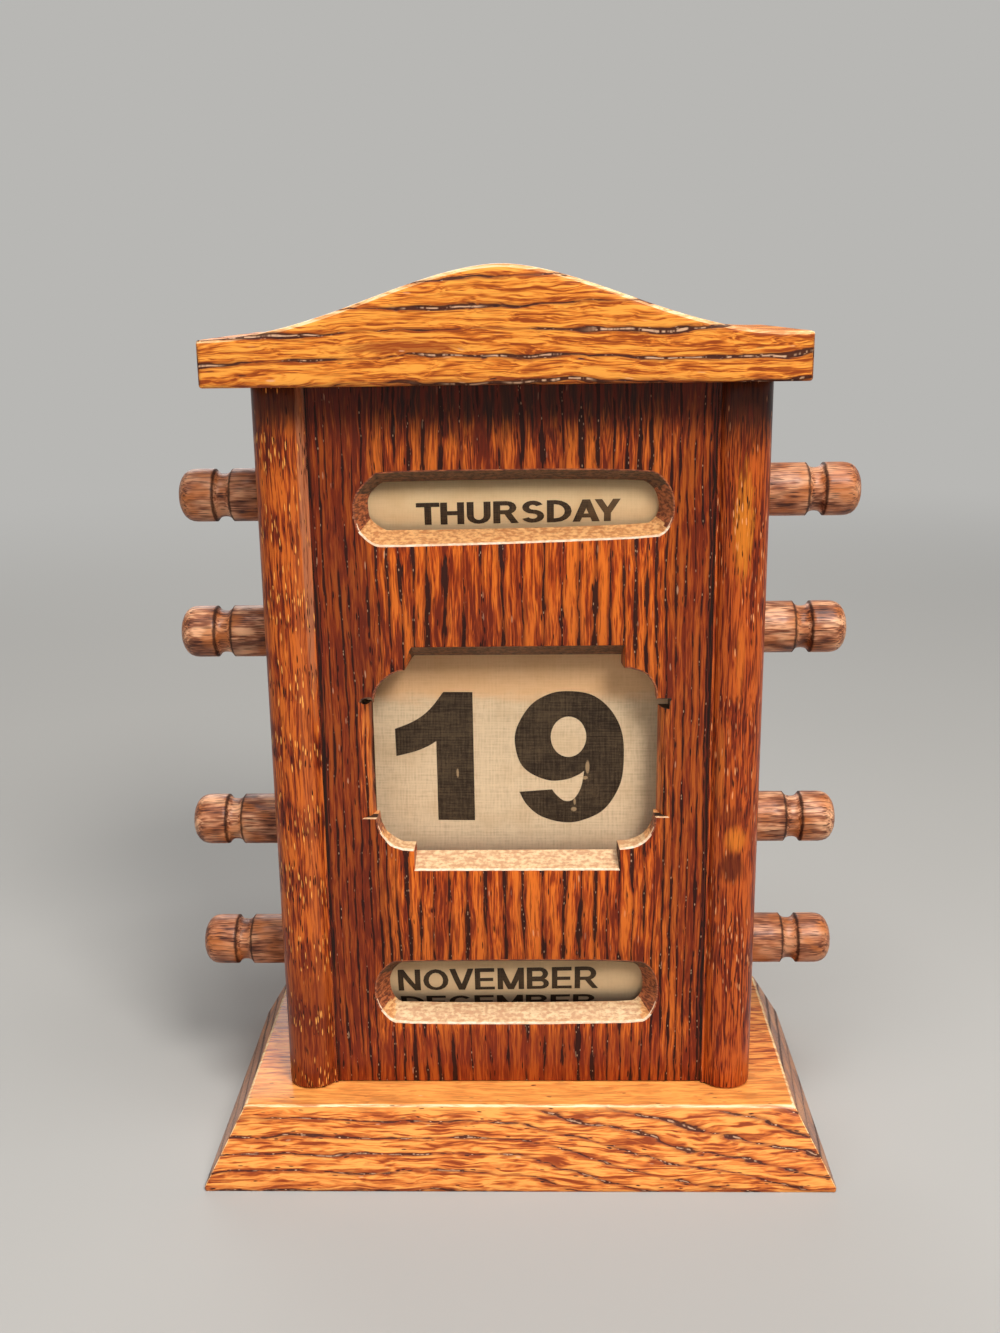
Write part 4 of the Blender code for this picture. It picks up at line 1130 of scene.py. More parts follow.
@dataclass(frozen=True)
class FrontPanel:
    """The panel between the side boards, with the weekday, date and month windows."""

    pale_reach: float = 30.5 * MM
    nick_start: float = 33.3 * MM
    arris: float = 0.5 * MM

    def opening(self, name: str) -> Flat:
        """The middle of a window, as the solid model gives it."""
        listed = frame["record"]["physics"]["openings"]
        low, high = next(item["box_m"] for item in listed if item["name"] == name)
        return (low[0] + high[0]) / 2, (low[2] + high[2]) / 2

    def windows(self) -> list[tuple[Window, Oak | CutWood]]:
        """Every cut in the panel, with the finish of its upright faces."""
        day = self.opening("day_window")
        month = self.opening("month_window")
        date = self.opening("date_window")
        day_window = Window("day_window", day, (
            (30.0, 8.1), (33.4, 6.4), (35.8, 2.6), (36.0, -2.2), (34.4, -5.6), (32.0, -7.0), (-28.6, -8.4),
            (-31.4, -8.0), (-34.4, -5.6), (-35.4, -2.0), (-35.2, 3.0), (-31.6, 6.6), (-29.6, 8.2)), (
            (28.6, 5.6), (31.4, 4.2), (33.0, 1.6), (33.2, -1.8), (32.0, -3.8), (30.0, -5.0), (-28.0, -5.9),
            (-30.0, -5.2), (-32.4, -3.2), (-33.0, -1.0), (-32.8, 2.4), (-30.4, 4.8), (-28.6, 5.6)))
        month_window = Window("month_window", month, (
            (29.6, 8.4), (32.6, 6.8), (34.4, 3.4), (34.6, -2.4), (32.8, -6.8), (30.2, -8.4), (-28.8, -8.5),
            (-31.4, -7.2), (-34.0, -3.6), (-34.4, 0.8), (-33.6, 4.4), (-31.0, 7.4), (-28.8, 8.2)), (
            (28.2, 5.8), (30.4, 4.6), (31.4, 2.0), (31.6, -1.6), (30.4, -4.2), (28.4, -5.5), (-27.8, -5.6),
            (-29.8, -4.8), (-31.2, -2.4), (-31.6, 0.4), (-31.0, 3.0), (-29.4, 5.0), (-27.6, 5.8)))
        corner = ((33.1, 14.6), (32.4, 18.6), (29.6, 21.6), (25.2, 22.5), (-25.0, 22.5), (-28.6, 21.2),
                  (-32.0, 18.2), (-33.1, 14.4), (-33.1, -15.0), (-32.2, -18.4), (-29.4, -21.4), (-25.6, -22.5),
                  (25.2, -22.5), (29.8, -21.2), (32.4, -18.2), (33.1, -14.6))
        date_window = Window("date_window", date, corner, corner, chatter=0.2 * MM)
        top_bay = Window("date_window_top", date, (
            (25.6, 10.0), (25.5, 27.6), (-23.6, 27.5), (-24.2, 26.4), (-25.4, 22.4), (-25.6, 10.0)), (
            (25.0, 10.0), (24.9, 24.3), (-23.4, 24.4), (-24.0, 23.8), (-25.0, 22.0), (-25.2, 10.0)), rounds=0)
        foot_bay = Window("date_window_foot", date, (
            (24.6, -10.0), (-24.4, -10.0), (-24.4, -27.4), (24.6, -27.5)), (
            (24.3, -10.0), (-24.2, -10.0), (-24.2, -24.5), (24.3, -24.5)), rounds=0)
        side_bays = [Window("date_window_side", date, (
            (sign * 36.1, -14.2), (sign * 36.1, 14.3), (sign * 20.0, 14.3), (sign * 20.0, -14.2))[::sign], (
            (sign * 33.6, -14.2), (sign * 33.6, 14.3), (sign * 20.0, 14.3), (sign * 20.0, -14.2))[::sign],
            rounds=0, belly=0.4) for sign in (1, -1)]
        saw_cut = ((36.0, 12.2), (36.1, 14.7), (32.0, 14.7), (32.0, 12.2))
        right_nick = Window("date_window_nick", date, saw_cut, saw_cut, rounds=0)
        chip = ((-33.0, 13.6), (-33.0, 15.4), (-35.2, 15.2), (-36.0, 14.4), (-35.4, 13.6))
        left_nick = Window("date_window_chip", date, chip, tuple((x * 0.98, z) for x, z in chip), rounds=1)
        # The saw nick and the chip take near-black and dark wood: painted shade in these recesses.
        rough = ((day_window, REVEAL_WOOD), (month_window, REVEAL_WOOD), (date_window, REVEAL_WOOD),
                 (right_nick, NICK_SHADE_WOOD), (left_nick, SHADED_CUT_WOOD))
        # The side bays take the lighter copy of the panel oak: painted light.
        return [*rough, *((bay, PANEL_OAK) for bay in (top_bay, foot_bay)), *((bay, LIT_BAY_OAK) for bay in side_bays)]

    def build(self) -> list[Piece]:
        """Make the panel and cut its windows."""
        box = Box.of("front_panel")
        outline = round_corners(box.size.x, box.size.z, 0.2 * MM, 1)
        middle = box.middle
        rings = [[(middle.x + x, y, middle.z + z) for x, z in outline] for y in (box.low.y, box.high.y)]
        piece = loft("window_panel", rings)
        finishes = {PANEL_OAK: PANEL_OAK.dress("panel_oak")}
        piece.data.materials.append(finishes[PANEL_OAK])
        cutters = []
        for window, finish in self.windows():
            if finish not in finishes:
                finishes[finish] = finish.dress(f"cut_oak_{len(finishes)}")
            cutters.append(window.cutter(box, finishes[finish]))
        carve(piece, cutters)
        self.shade_cuts(piece, box, finishes[SHADED_CUT_WOOD], finishes[NICK_SHADE_WOOD])
        smooth(piece, 25.0)
        return [Piece(piece, "case", "red_oak", ("front_panel",))]

    def shade_cuts(self, piece: bpy.types.Object, box: Box, dark: bpy.types.Material, nicked: bpy.types.Material
                   ) -> None:
        """Paint light into the cut faces by the way they face: those that look up take lit, pale finishes (painted
        light), the sills' front arrises a near-white one (a painted highlight) and those that look down a dark one
        (painted shade).

        Args:
            piece: the panel, with its windows cut.
            box: the room that it takes.
            dark: the dark finish of the faces that look down, painted shade.
            nicked: the near-black finish of the floors of the nicks, painted shade.
        """
        materials = list(piece.data.materials)
        sills = (SILL_WOOD.dress("sill_oak"), DAY_SILL_WOOD.dress("day_sill_oak"),
                 SILL_EDGE_HIGHLIGHT_WOOD.dress("worn_sill_oak"))
        for sill in sills:
            piece.data.materials.append(sill)
        margin = 5 * MM
        for face in piece.data.polygons:
            if not box.low.z + margin < face.center.z < box.high.z - margin:
                continue
            arris = face.center.y < box.low.y + self.arris and face.normal.z > 0.2
            nick = abs(face.center.x) > self.nick_start and 0.08 < face.center.z < 0.12
            # Floors of the nicks take the near-black painted shade.
            if nick and not arris and face.normal.z > 0.45:
                face.material_index = materials.index(nicked)
            # Front arrises that look up take the near-white painted highlight, or at the nicks the lit sill finish.
            elif arris:
                face.material_index = len(materials) + (0 if nick else 2)
            # Faces that look up take a lit copy of the cut wood: painted light.
            elif face.normal.z > 0.45:
                pale = face.center.z < 0.15 and abs(face.center.x) < self.pale_reach
                face.material_index = len(materials) + int(not pale)
            # Faces that look down take the dark copy: painted shade.
            elif face.normal.z < -0.45:
                face.material_index = materials.index(dark)


@dataclass(frozen=True)
class BackPanel:
    """The board that closes the case, with its sunk screw holes."""

    edge: float = 0.35 * MM

    def build(self) -> list[Piece]:
        """Make the back."""
        box = Box.of("back_panel")
        middle = box.middle
        levels = ((self.edge, box.low.y), (0.0, box.low.y + self.edge), (0.0, box.high.y - self.edge),
                  (self.edge, box.high.y))
        rings = []
        for inset, y in levels:
            outline = round_corners(box.size.x - 2 * inset, box.size.z - 2 * inset, self.edge, 2)
            rings.append([(middle.x + x, y, middle.z + z) for x, z in outline])
        piece = loft("back_board", rings)
        piece.data.materials.append(BACK_OAK.dress("back_oak"))
        carve(piece, [BACK_SCREWS.socket(node, "back_oak") for node in BACK_SCREWS.nodes])
        smooth(piece)
        return [Piece(piece, "case", "red_oak", ("back_panel",))]


@dataclass(frozen=True)
class RoofCrest:
    """The solid roof block, whose top is a raised cosine between its ends."""

    left_end: float = 10.2 * MM
    right_end: float = 10.4 * MM
    crown_x: float = -2.0 * MM
    left_flat: float = 0.2 * MM
    right_flat: float = 3.9 * MM
    ease: float = 0.88
    edge: float = 0.7 * MM
    uneven: float = 0.12 * MM
    columns: int = 105
    rows: int = 27

    def build(self) -> list[Piece]:
        """Make the roof with Geometry Nodes: a block whose top follows the curve."""
        box = Box.of("roof_crest")
        pad = GeometryPad("serpentine_block")
        depth = pad.ask("Depth", box.size.y)
        width = pad.ask("Width", box.size.x)
        middle = pad.ask("Middle", box.middle.x)
        crown = pad.ask("Crown Height", box.size.z)
        crown_x = pad.ask("Crown Place", self.crown_x)
        left_end, right_end = pad.ask("Left End", self.left_end), pad.ask("Right End", self.right_end)
        left_sweep = pad.ask("Left Sweep", self.crown_x - box.low.x - self.left_flat)
        right_sweep = pad.ask("Right Sweep", box.high.x - self.crown_x - self.right_flat)
        ease = pad.ask("Ease", self.ease)
        floor = pad.ask("Underside Height", box.low.z)
        uneven = pad.ask("Unevenness", self.uneven)

        block = pad.node("GeometryNodeMeshCube", {}, {
            "Size": pad.join(width, depth, 1.0), "Vertices X": self.columns, "Vertices Y": self.rows,
            "Vertices Z": 8})
        x, y, z = pad.split(pad.node("GeometryNodeInputPosition"))
        from_crown = x + middle - crown_x
        on_left = pad.maths("LESS_THAN", from_crown, 0.0)
        end = right_end + on_left * (left_end - right_end)
        sweep = right_sweep + on_left * (left_sweep - right_sweep)
        phase = pad.maths("MINIMUM", abs(from_crown) / sweep, 1.0) ** ease
        height = end + (crown - end) * (pad.maths("COSINE", phase * pi) + 1.0) / 2.0
        share = z + 0.5
        wave = pad.node("ShaderNodeTexNoise", {}, {"Vector": pad.join(x, y, z * 0.02), "Scale": 45.0}) - 0.5
        top = floor + share * (height - uneven * (1.0 - wave))
        side = 1.0 - uneven * (1.0 - wave) / width
        place = pad.join(middle + x * side, y * side, top)
        shaped = pad.node("GeometryNodeSetPosition", {}, {0: block, "Position": place})
        piece = pad.run("roof_block", shaped, ROOF_OAK.dress("roof_oak"))
        rounded(piece, self.edge, above=50.0)
        edge = box.high.y - self.edge
        refinish(piece, ROOF_TOP_OAK.dress("roof_top_oak"), lambda face: face.normal.z > 0.75)
        refinish(piece, END_OAK.dress("roof_end_oak"), lambda face: abs(face.normal.x) > 0.7)
        # The top edges take the lighter copy of the oak: a painted highlight.
        refinish(piece, ROOF_EDGE_HIGHLIGHT_OAK.dress("worn_roof_oak"),
                 lambda face: abs(face.center.y) > edge and face.normal.z > 0.15)
        smooth(piece)
        return [Piece(piece, "case", "golden_oak", ("roof_crest",))]


@dataclass(frozen=True)
class Screws:
    """Four slotted countersunk screws, one at each corner of a rectangle."""

    name: str
    nodes: tuple[str, ...]
    shank: float
    head: float
    head_height: float
    turn: tuple[float, float, float]
    rim: float = 0.3 * MM
    slot_width: float = 0.8 * MM
    slot_depth: float = 0.8 * MM
    tip: float = 3.0 * MM
    steps: int = 28
    socket_gap: float = 0.3 * MM
    seed: int = 4

    def frame_boxes(self) -> list[Box]:
        """The boxes of the four solids."""
        return [Box.of(node) for node in self.nodes]

    def place(self, box: Box) -> Vector:
        """The middle of a screw's head face."""
        if self.turn[0]:
            return Vector((box.middle.x, box.high.y, box.middle.z))
        return Vector((box.middle.x, box.middle.y, box.low.z))

    def socket(self, node: str, finish: str) -> bpy.types.Object:
        """The cone that a head is sunk in, as a solid to cut with, and the name of the cut faces' finish."""
        box = Box.of(node)
        turns = [2 * pi * step / self.steps for step in range(self.steps)]
        head, shank = self.head + self.socket_gap, self.shank + self.socket_gap
        profile = ((head, -2.0 * MM), (head, self.rim), (shank, self.head_height), (shank, 8.0 * MM))
        place = Matrix.Translation(self.place(box)) @ Matrix.Rotation(self.turn[0], 4, "X")
        rings = [[place @ Vector((radius * cos(turn), radius * sin(turn), up)) for turn in turns]
                 for radius, up in profile]
        cutter = loft("socket", rings)
        cutter.data.materials.append(bpy.data.materials[finish])
        return cutter

    def build(self) -> list[Piece]:
        """Make the four screws with Geometry Nodes: one screw set on the corners of a grid."""
        boxes = self.frame_boxes()
        places = [self.place(box) for box in boxes]
        middle = sum(places, Vector()) / len(places)
        reach = max(places, key=lambda p: (p - middle).length) - middle
        along = boxes[0].size.y if self.turn[0] else boxes[0].size.z
        pad = GeometryPad(f"{self.name}_tree")
        spread_x = pad.ask("Spread Across", 2 * abs(reach.x))
        spread_y = pad.ask("Spread Along", 2 * (abs(reach.z) if self.turn[0] else abs(reach.y)))
        head, shank = pad.ask("Head Radius", self.head), pad.ask("Shank Radius", self.shank)
        head_height, length = pad.ask("Head Height", self.head_height), pad.ask("Length", along)
        rim, tip = pad.ask("Rim", self.rim), pad.ask("Point Length", self.tip)
        slot_width, slot_depth = pad.ask("Slot Width", self.slot_width), pad.ask("Slot Depth", self.slot_depth)
        seed = pad.ask("Seed", self.seed)

        def drum(low: Value, high: Value, start: Value, end: Value) -> Socket:
            """A cone stump between two heights."""
            cone = pad.node("GeometryNodeMeshCone", {}, {
                "Vertices": self.steps, "Radius Bottom": low, "Radius Top": high, "Depth": end - start})
            return pad.moved(cone, pad.join(0.0, 0.0, start))

        start = pad.maths("ADD", 0.0, 0.0)
        parts = (drum(head, head, start, rim), drum(head, shank, rim, head_height),
                 drum(shank, shank, head_height, length - tip), drum(shank, shank * 0.08, length - tip, length))
        whole = pad.node("GeometryNodeJoinGeometry")
        for part in parts:
            pad.tree.links.new(part.link, whole.link.node.inputs[0])
        fused = pad.node("GeometryNodeMergeByDistance", {}, {0: whole, "Distance": 0.001 * MM})
        slot = pad.node("GeometryNodeMeshCube", {}, {
            "Size": pad.join(head * 3.0, slot_width, slot_depth * 2.0)})
        cut = pad.node("GeometryNodeMeshBoolean", {"operation": "DIFFERENCE", "solver": "EXACT"},
                       {"Mesh 1": fused, "Mesh 2": slot})
        corners = pad.node("GeometryNodeMeshGrid", {}, {
            "Size X": spread_x, "Size Y": spread_y, "Vertices X": 2, "Vertices Y": 2})
        spin = pad.node("FunctionNodeRandomValue", {"data_type": "FLOAT"}, {2: 0.0, 3: pi, "Seed": seed}, 1)
        turned = pad.node("GeometryNodeInstanceOnPoints", {}, {
            "Points": corners, "Instance": cut, "Rotation": pad.join(0.0, 0.0, spin)})
        upright = pad.moved(turned, tuple(middle), self.turn)
        piece = pad.run(self.name, upright, SCREW_BRASS.dress(f"{self.name}_brass"))
        smooth(piece, 30.0)
        return [Piece(piece, "case", "brass", self.nodes)]


BASE_SCREWS = Screws("base_screws", tuple(f"base_screw_{end}_{side}" for end in ("front", "rear")
                                          for side in ("left", "right")),
                     shank=1.75 * MM, head=3.5 * MM, head_height=2.0 * MM, turn=(0.0, 0.0, 0.0))
BACK_SCREWS = Screws("back_screws", tuple(f"back_screw_{end}_{side}" for end in ("lower", "upper")
                                          for side in ("left", "right")),
                     shank=1.4 * MM, head=2.6 * MM, head_height=1.6 * MM, turn=(pi / 2, 0.0, 0.0), seed=9)


# Turning rows


@dataclass(frozen=True)
class Row:
    """One dowel with a knob turned at both ends."""

    node: str
    body: str
    finish: TurnedWood
    seed: float
    groove_start: float = 9.0 * MM
    groove_end: float = 13.0 * MM
    groove_depth: float = 1.2 * MM
    steps: int = 64
    pitch: float = 0.9 * MM
    wobble: float = 0.06 * MM

    @property
    def height(self) -> float:
        """The z of the row's axis."""
        return Box.of(self.node).middle.z

    def head(self, radius: float) -> list[Flat]:
        """A knob's outline from its tip: pairs of distance and radius."""
        dome = ((0.0, 0.0), (0.06, 0.16), (0.22, 0.36), (0.5, 0.55), (0.95, 0.71), (1.55, 0.84), (2.3, 0.93),
                (3.2, 0.98), (4.3, 1.0))
        points = [(along * MM, share * radius) for along, share in dome]
        points += [(along * MM, radius) for along in (5.2, 6.1, 7.0, 7.9)]
        width = self.groove_end - self.groove_start
        shoulder = 0.12 * MM
        points += [(self.groove_start - shoulder, radius), (self.groove_start, radius - shoulder)]
        for share in (0.04, 0.12, 0.26, 0.42, 0.58, 0.74, 0.88, 0.96):
            hollow = (1 - abs(2 * share - 1) ** 3.2) * self.groove_depth
            points.append((self.groove_start + width * share, radius - shoulder - hollow * 0.9))
        points += [(self.groove_end, radius - shoulder), (self.groove_end + shoulder, radius)]
        return points

    def build(self) -> list[Piece]:
        """Make the dowel."""
        box = Box.of(self.node)
        radius = box.size.z / 2
        head = self.head(radius)
        left = [(box.low.x + along, r) for along, r in head]
        right = [(box.high.x - along, r) for along, r in reversed(head)]
        gap = right[0][0] - left[-1][0]
        count = ceil(gap / (4 * self.pitch))
        middle = [(left[-1][0] + gap * step / count, radius) for step in range(1, count)]
        profile = left + middle + right
        points = [(profile[0][0], 0.0, box.middle.z)]
        for x, r in profile[1:-1]:
            for step in range(self.steps):
                turn = 2 * pi * step / self.steps
                wave = unevenness((x, r * cos(turn), r * sin(turn)), 4.5 * MM, self.seed)
                size = r - self.wobble * (0.5 + 0.5 * wave) * min(1.0, r / radius)
                points.append((x, size * cos(turn), box.middle.z + size * sin(turn)))
        points.append((profile[-1][0], 0.0, box.middle.z))
        faces = []
        for step in range(self.steps):
            after = (step + 1) % self.steps
            faces.append((0, 1 + after, 1 + step))
            last = len(points) - 1
            end = last - self.steps
            faces.append((last, end + step, end + after))
        for ring in range(len(profile) - 3):
            start = 1 + ring * self.steps
            for step in range(self.steps):
                after = (step + 1) % self.steps
                faces.append((start + step, start + after, start + self.steps + after, start + self.steps + step))
        piece = mesh_object(self.node.replace("dowel", "knobs"), points, faces)
        face_outwards(piece)
        shoulders = [x / MM for x in (box.low.x + self.groove_start, box.low.x + self.groove_end,
                                      box.high.x - self.groove_start, box.high.x - self.groove_end)]
        finish = replace(self.finish, shoulders=tuple(shoulders), seed=self.seed)
        piece.data.materials.append(finish.dress(f"{self.node}_wood"))
        smooth(piece, 50.0)
        return [Piece(piece, self.body, "knob_wood", (self.node,))]


ROWS = (
    Row("day_dowel", "day_reel", replace(KNOB_WOOD, light=shown(224, 162, 120)), 1.3),
    Row("upper_date_dowel", "upper_date_roller", KNOB_WOOD, 2.9),
    Row("lower_date_dowel", "lower_date_roller", KNOB_WOOD, 4.4),
    Row("month_dowel", "month_reel", replace(KNOB_WOOD, light=shown(214, 150, 108)), 6.1),
)


# Lettering


@dataclass(frozen=True)
class Alphabet:
    """A bold block alphabet drawn with posts, beams, slants and bends on letters of height 1."""

    OPEN = {"A": 0.06, "V": 0.06, "W": 0.06, "Y": 0.07, "T": 0.06, "L": 0.05, "F": 0.04, "P": 0.03}
    post: float = 0.225
    beam: float = 0.185
    slant: float = 0.245
    space: float = 0.085
    bend_steps: int = 8

    def upright(self, left: float, low: float = 0.0, high: float = 1.0) -> Outline:
        """An upright stroke."""
        right = left + self.post
        return [(left, low), (right, low), (right, high), (left, high)]

    def level(self, left: float, right: float, middle: float) -> Outline:
        """A level stroke."""
        low, high = middle - self.beam / 2, middle + self.beam / 2
        return [(left, low), (right, low), (right, high), (left, high)]

    def slope(self, foot: float, head: float, low: float = 0.0, high: float = 1.0) -> Outline:
        """A sloping stroke from a foot's left edge to a head's left edge."""
        return [(foot, low), (foot + self.slant, low), (head + self.slant, high), (head, high)]

    def bend(self, left: float, right: float, low: float, high: float, start: float, end: float) -> Outline:
        """Part of an oval stroke, from one angle to another in degrees."""
        cx, cz, rx, rz = (left + right) / 2, (low + high) / 2, (right - left) / 2, (high - low) / 2
        count = max(2, ceil(abs(end - start) / 180 * self.bend_steps))
        turns = [radians(start + (end - start) * step / count) for step in range(count + 1)]
        outer = [(cx + rx * cos(turn), cz + rz * sin(turn)) for turn in turns]
        inner = [(cx + (rx - self.post) * cos(turn), cz + (rz - self.beam) * sin(turn)) for turn in turns]
        return outer + inner[::-1]

    def lobe(self, right: float, low: float, high: float) -> Outline:
        """A bowl that leaves the left edge, turns at the right and comes back."""
        cz, rz = (low + high) / 2, (high - low) / 2
        cx = right - rz * 1.05
        turns = [pi / 2 - pi * step / self.bend_steps for step in range(self.bend_steps + 1)]
        outer = [(cx + (right - cx) * cos(turn), cz + rz * sin(turn)) for turn in turns]
        inner = [(cx + (right - cx - self.post) * cos(turn), cz + (rz - self.beam) * sin(turn)) for turn in turns]
        return [(0.0, high)] + outer + [(0.0, low), (0.0, low + self.beam)] + inner[::-1] + [
            (0.0, high - self.beam)]

    def letter(self, sign: str) -> tuple[float, list[Outline]]:
        """A letter's width and its strokes."""
        post, slant = self.post, self.slant
        foot, crown = self.beam / 2, 1 - self.beam / 2
        up, level, slope, bend, lobe = self.upright, self.level, self.slope, self.bend, self.lobe
        shapes: dict[str, tuple[float, list[Outline]]] = {
            "A": (0.88, [slope(0, 0.44 - slant / 2), slope(0.88 - slant, 0.44 - slant / 2), level(0.18, 0.7, 0.28)]),
            "B": (0.77, [up(0), lobe(0.74, 0.46, 1), lobe(0.77, 0, 0.54)]),
            "C": (0.8, [bend(0, 0.84, 0, 1, 40, 320)]),
            "D": (0.8, [up(0), lobe(0.8, 0, 1)]),
            "E": (0.69, [up(0), level(0, 0.69, foot), level(0, 0.64, 0.51), level(0, 0.68, crown)]),
            "F": (0.65, [up(0), level(0, 0.6, 0.5), level(0, 0.65, crown)]),
            "G": (0.84, [bend(0, 0.84, 0, 1, 42, 330), level(0.46, 0.84, 0.44), up(0.84 - post, 0.16, 0.5)]),
            "H": (0.77, [up(0), up(0.77 - post), level(0, 0.77, 0.52)]),
            "I": (post, [up(0)]),
            "J": (0.62, [up(0.62 - post, 0.3), bend(0, 0.62, 0, 0.62, 180, 360)]),
            "L": (0.65, [up(0), level(0, 0.65, foot)]),
            "M": (0.92, [up(0), up(0.92 - post), slope(0.46 - slant / 2, 0), slope(0.46 - slant / 2, 0.92 - slant)]),
            "N": (0.78, [up(0), up(0.78 - post), slope(0.78 - slant, 0)]),
            "O": (0.88, [bend(0, 0.88, 0, 1, 0, 180), bend(0, 0.88, 0, 1, 180, 360)]),
            "P": (0.73, [up(0), lobe(0.73, 0.4, 1)]),
            "R": (0.82, [up(0), lobe(0.75, 0.42, 1), slope(0.82 - slant, 0.34, 0, 0.46)]),
            "S": (0.74, [bend(0.03, 0.71, 0.42, 1, 22, 270), bend(0, 0.74, 0, 0.6, -158, 90)]),
            "T": (0.76, [level(0, 0.76, crown), up(0.38 - post / 2)]),
            "U": (0.77, [up(0, 0.36), up(0.77 - post, 0.36), bend(0, 0.77, 0, 0.74, 180, 360)]),
            "V": (0.84, [slope(0.42 - slant / 2, 0), slope(0.42 - slant / 2, 0.84 - slant)]),
            "W": (1.2, [slope(0.32 - slant / 2, 0), slope(0.32 - slant / 2, 0.6 - slant / 2),
                        slope(0.88 - slant / 2, 0.6 - slant / 2), slope(0.88 - slant / 2, 1.2 - slant)]),
            "Y": (0.84, [up(0.42 - post / 2, 0, 0.46), slope(0.42 - slant / 2, 0, 0.4),
                         slope(0.42 - slant / 2, 0.84 - slant, 0.4)]),
        }
        return shapes[sign]

    def word(self, text: str) -> tuple[float, list[list[Outline]]]:
        """A word's width and the strokes of each letter, moved to their places."""
        place, letters = 0.0, []
        for sign, after in zip(text, f"{text[1:]} "):
            width, strokes = self.letter(sign)
            letters.append([[(x + place, z) for x, z in stroke] for stroke in strokes])
            close = self.OPEN.get(sign, 0.0) + self.OPEN.get(after, 0.0)
            place += width + self.space - close * (2.0 if close > 0.12 else 1.0)
        return place - self.space, letters


@dataclass(frozen=True)
class Sign:
    """A printed letter or number: strokes that may overlap, and holes in them."""

    strokes: tuple[Outline, ...]
    holes: tuple[Outline, ...] = ()

    def tiles(self) -> tuple[list[Flat], list[list[int]]]:
        """The strokes' union without the holes, as points and triangles."""
        points, loops = [], []
        for outline in (*self.strokes, *self.holes):
            turned = outline if area(outline) > 0 else outline[::-1]
            loops.append(list(range(len(points), len(points) + len(turned))))
            points += [Vector(point) for point in turned]
        made, _, faces, _, _, origins = delaunay_2d_cdt(points, [], loops, 0, FINE)
        kept = [list(face) for face, origin in zip(faces, origins)
                if origin and all(index < len(self.strokes) for index in origin)]
        return [tuple(point) for point in made], kept


@dataclass(frozen=True)
class Print:
    """Signs printed on a surface as thin plates of ink.

    The two functions take a place of the flat print, across and along the surface: lie gives its point in
    space and lay its cloth coordinates.
    """

    name: str
    signs: tuple[Sign, ...]
    lie: Callable[[float, float], Vector]
    lay: Callable[[float, float], Flat]
    ink: bpy.types.Material
    step: float = 1.1 * MM
    thickness: float = 0.03 * MM

    def build(self) -> bpy.types.Object:
        """Make the closed plates as one object."""
        bm = bmesh.new()
        for sign in self.signs:
            points, faces = sign.tiles()
            verts = [bm.verts.new((x, z, 0.0)) for x, z in points]
            for face in faces:
                bm.faces.new([verts[index] for index in face])
        for axis in (0, 1):
            self.slice(bm, axis)
        loose = [vert for vert in bm.verts if not vert.link_faces]
        bmesh.ops.delete(bm, geom=loose, context="VERTS")
        bmesh.ops.triangulate(bm, faces=bm.faces)
        bm.normal_update()
        for face in bm.faces:
            if face.normal.z < 0:
                face.normal_flip()
        mapping = bm.loops.layers.uv.new(Cloth.MAP)
        for face in bm.faces:
            for loop in face.loops:
                loop[mapping].uv = self.lay(loop.vert.co.x, loop.vert.co.y)
        for vert in bm.verts:
            vert.co = self.lie(vert.co.x, vert.co.y)
        mesh = bpy.data.meshes.new(self.name)
        bm.to_mesh(mesh)
        bm.free()
        piece = add_object(self.name, mesh)
        mesh.materials.append(self.ink)
        solid = piece.modifiers.new("ink", "SOLIDIFY")
        solid.thickness = self.thickness
        solid.offset = 1.0
        settle_modifiers(piece)
        return piece

    def slice(self, bm: bmesh.types.BMesh, axis: int) -> None:
        """Cut the flat print into strips that can follow a curved surface."""
        places = [vert.co[axis] for vert in bm.verts]
        low, high = min(places), max(places)
        normal = [0.0, 0.0, 0.0]
        normal[axis] = 1.0
        for index in range(1, ceil((high - low) / self.step)):
            at = [0.0, 0.0, 0.0]
            at[axis] = low + index * self.step
            everything = bm.verts[:] + bm.edges[:] + bm.faces[:]
            bmesh.ops.bisect_plane(bm, geom=everything, plane_co=at, plane_no=normal)


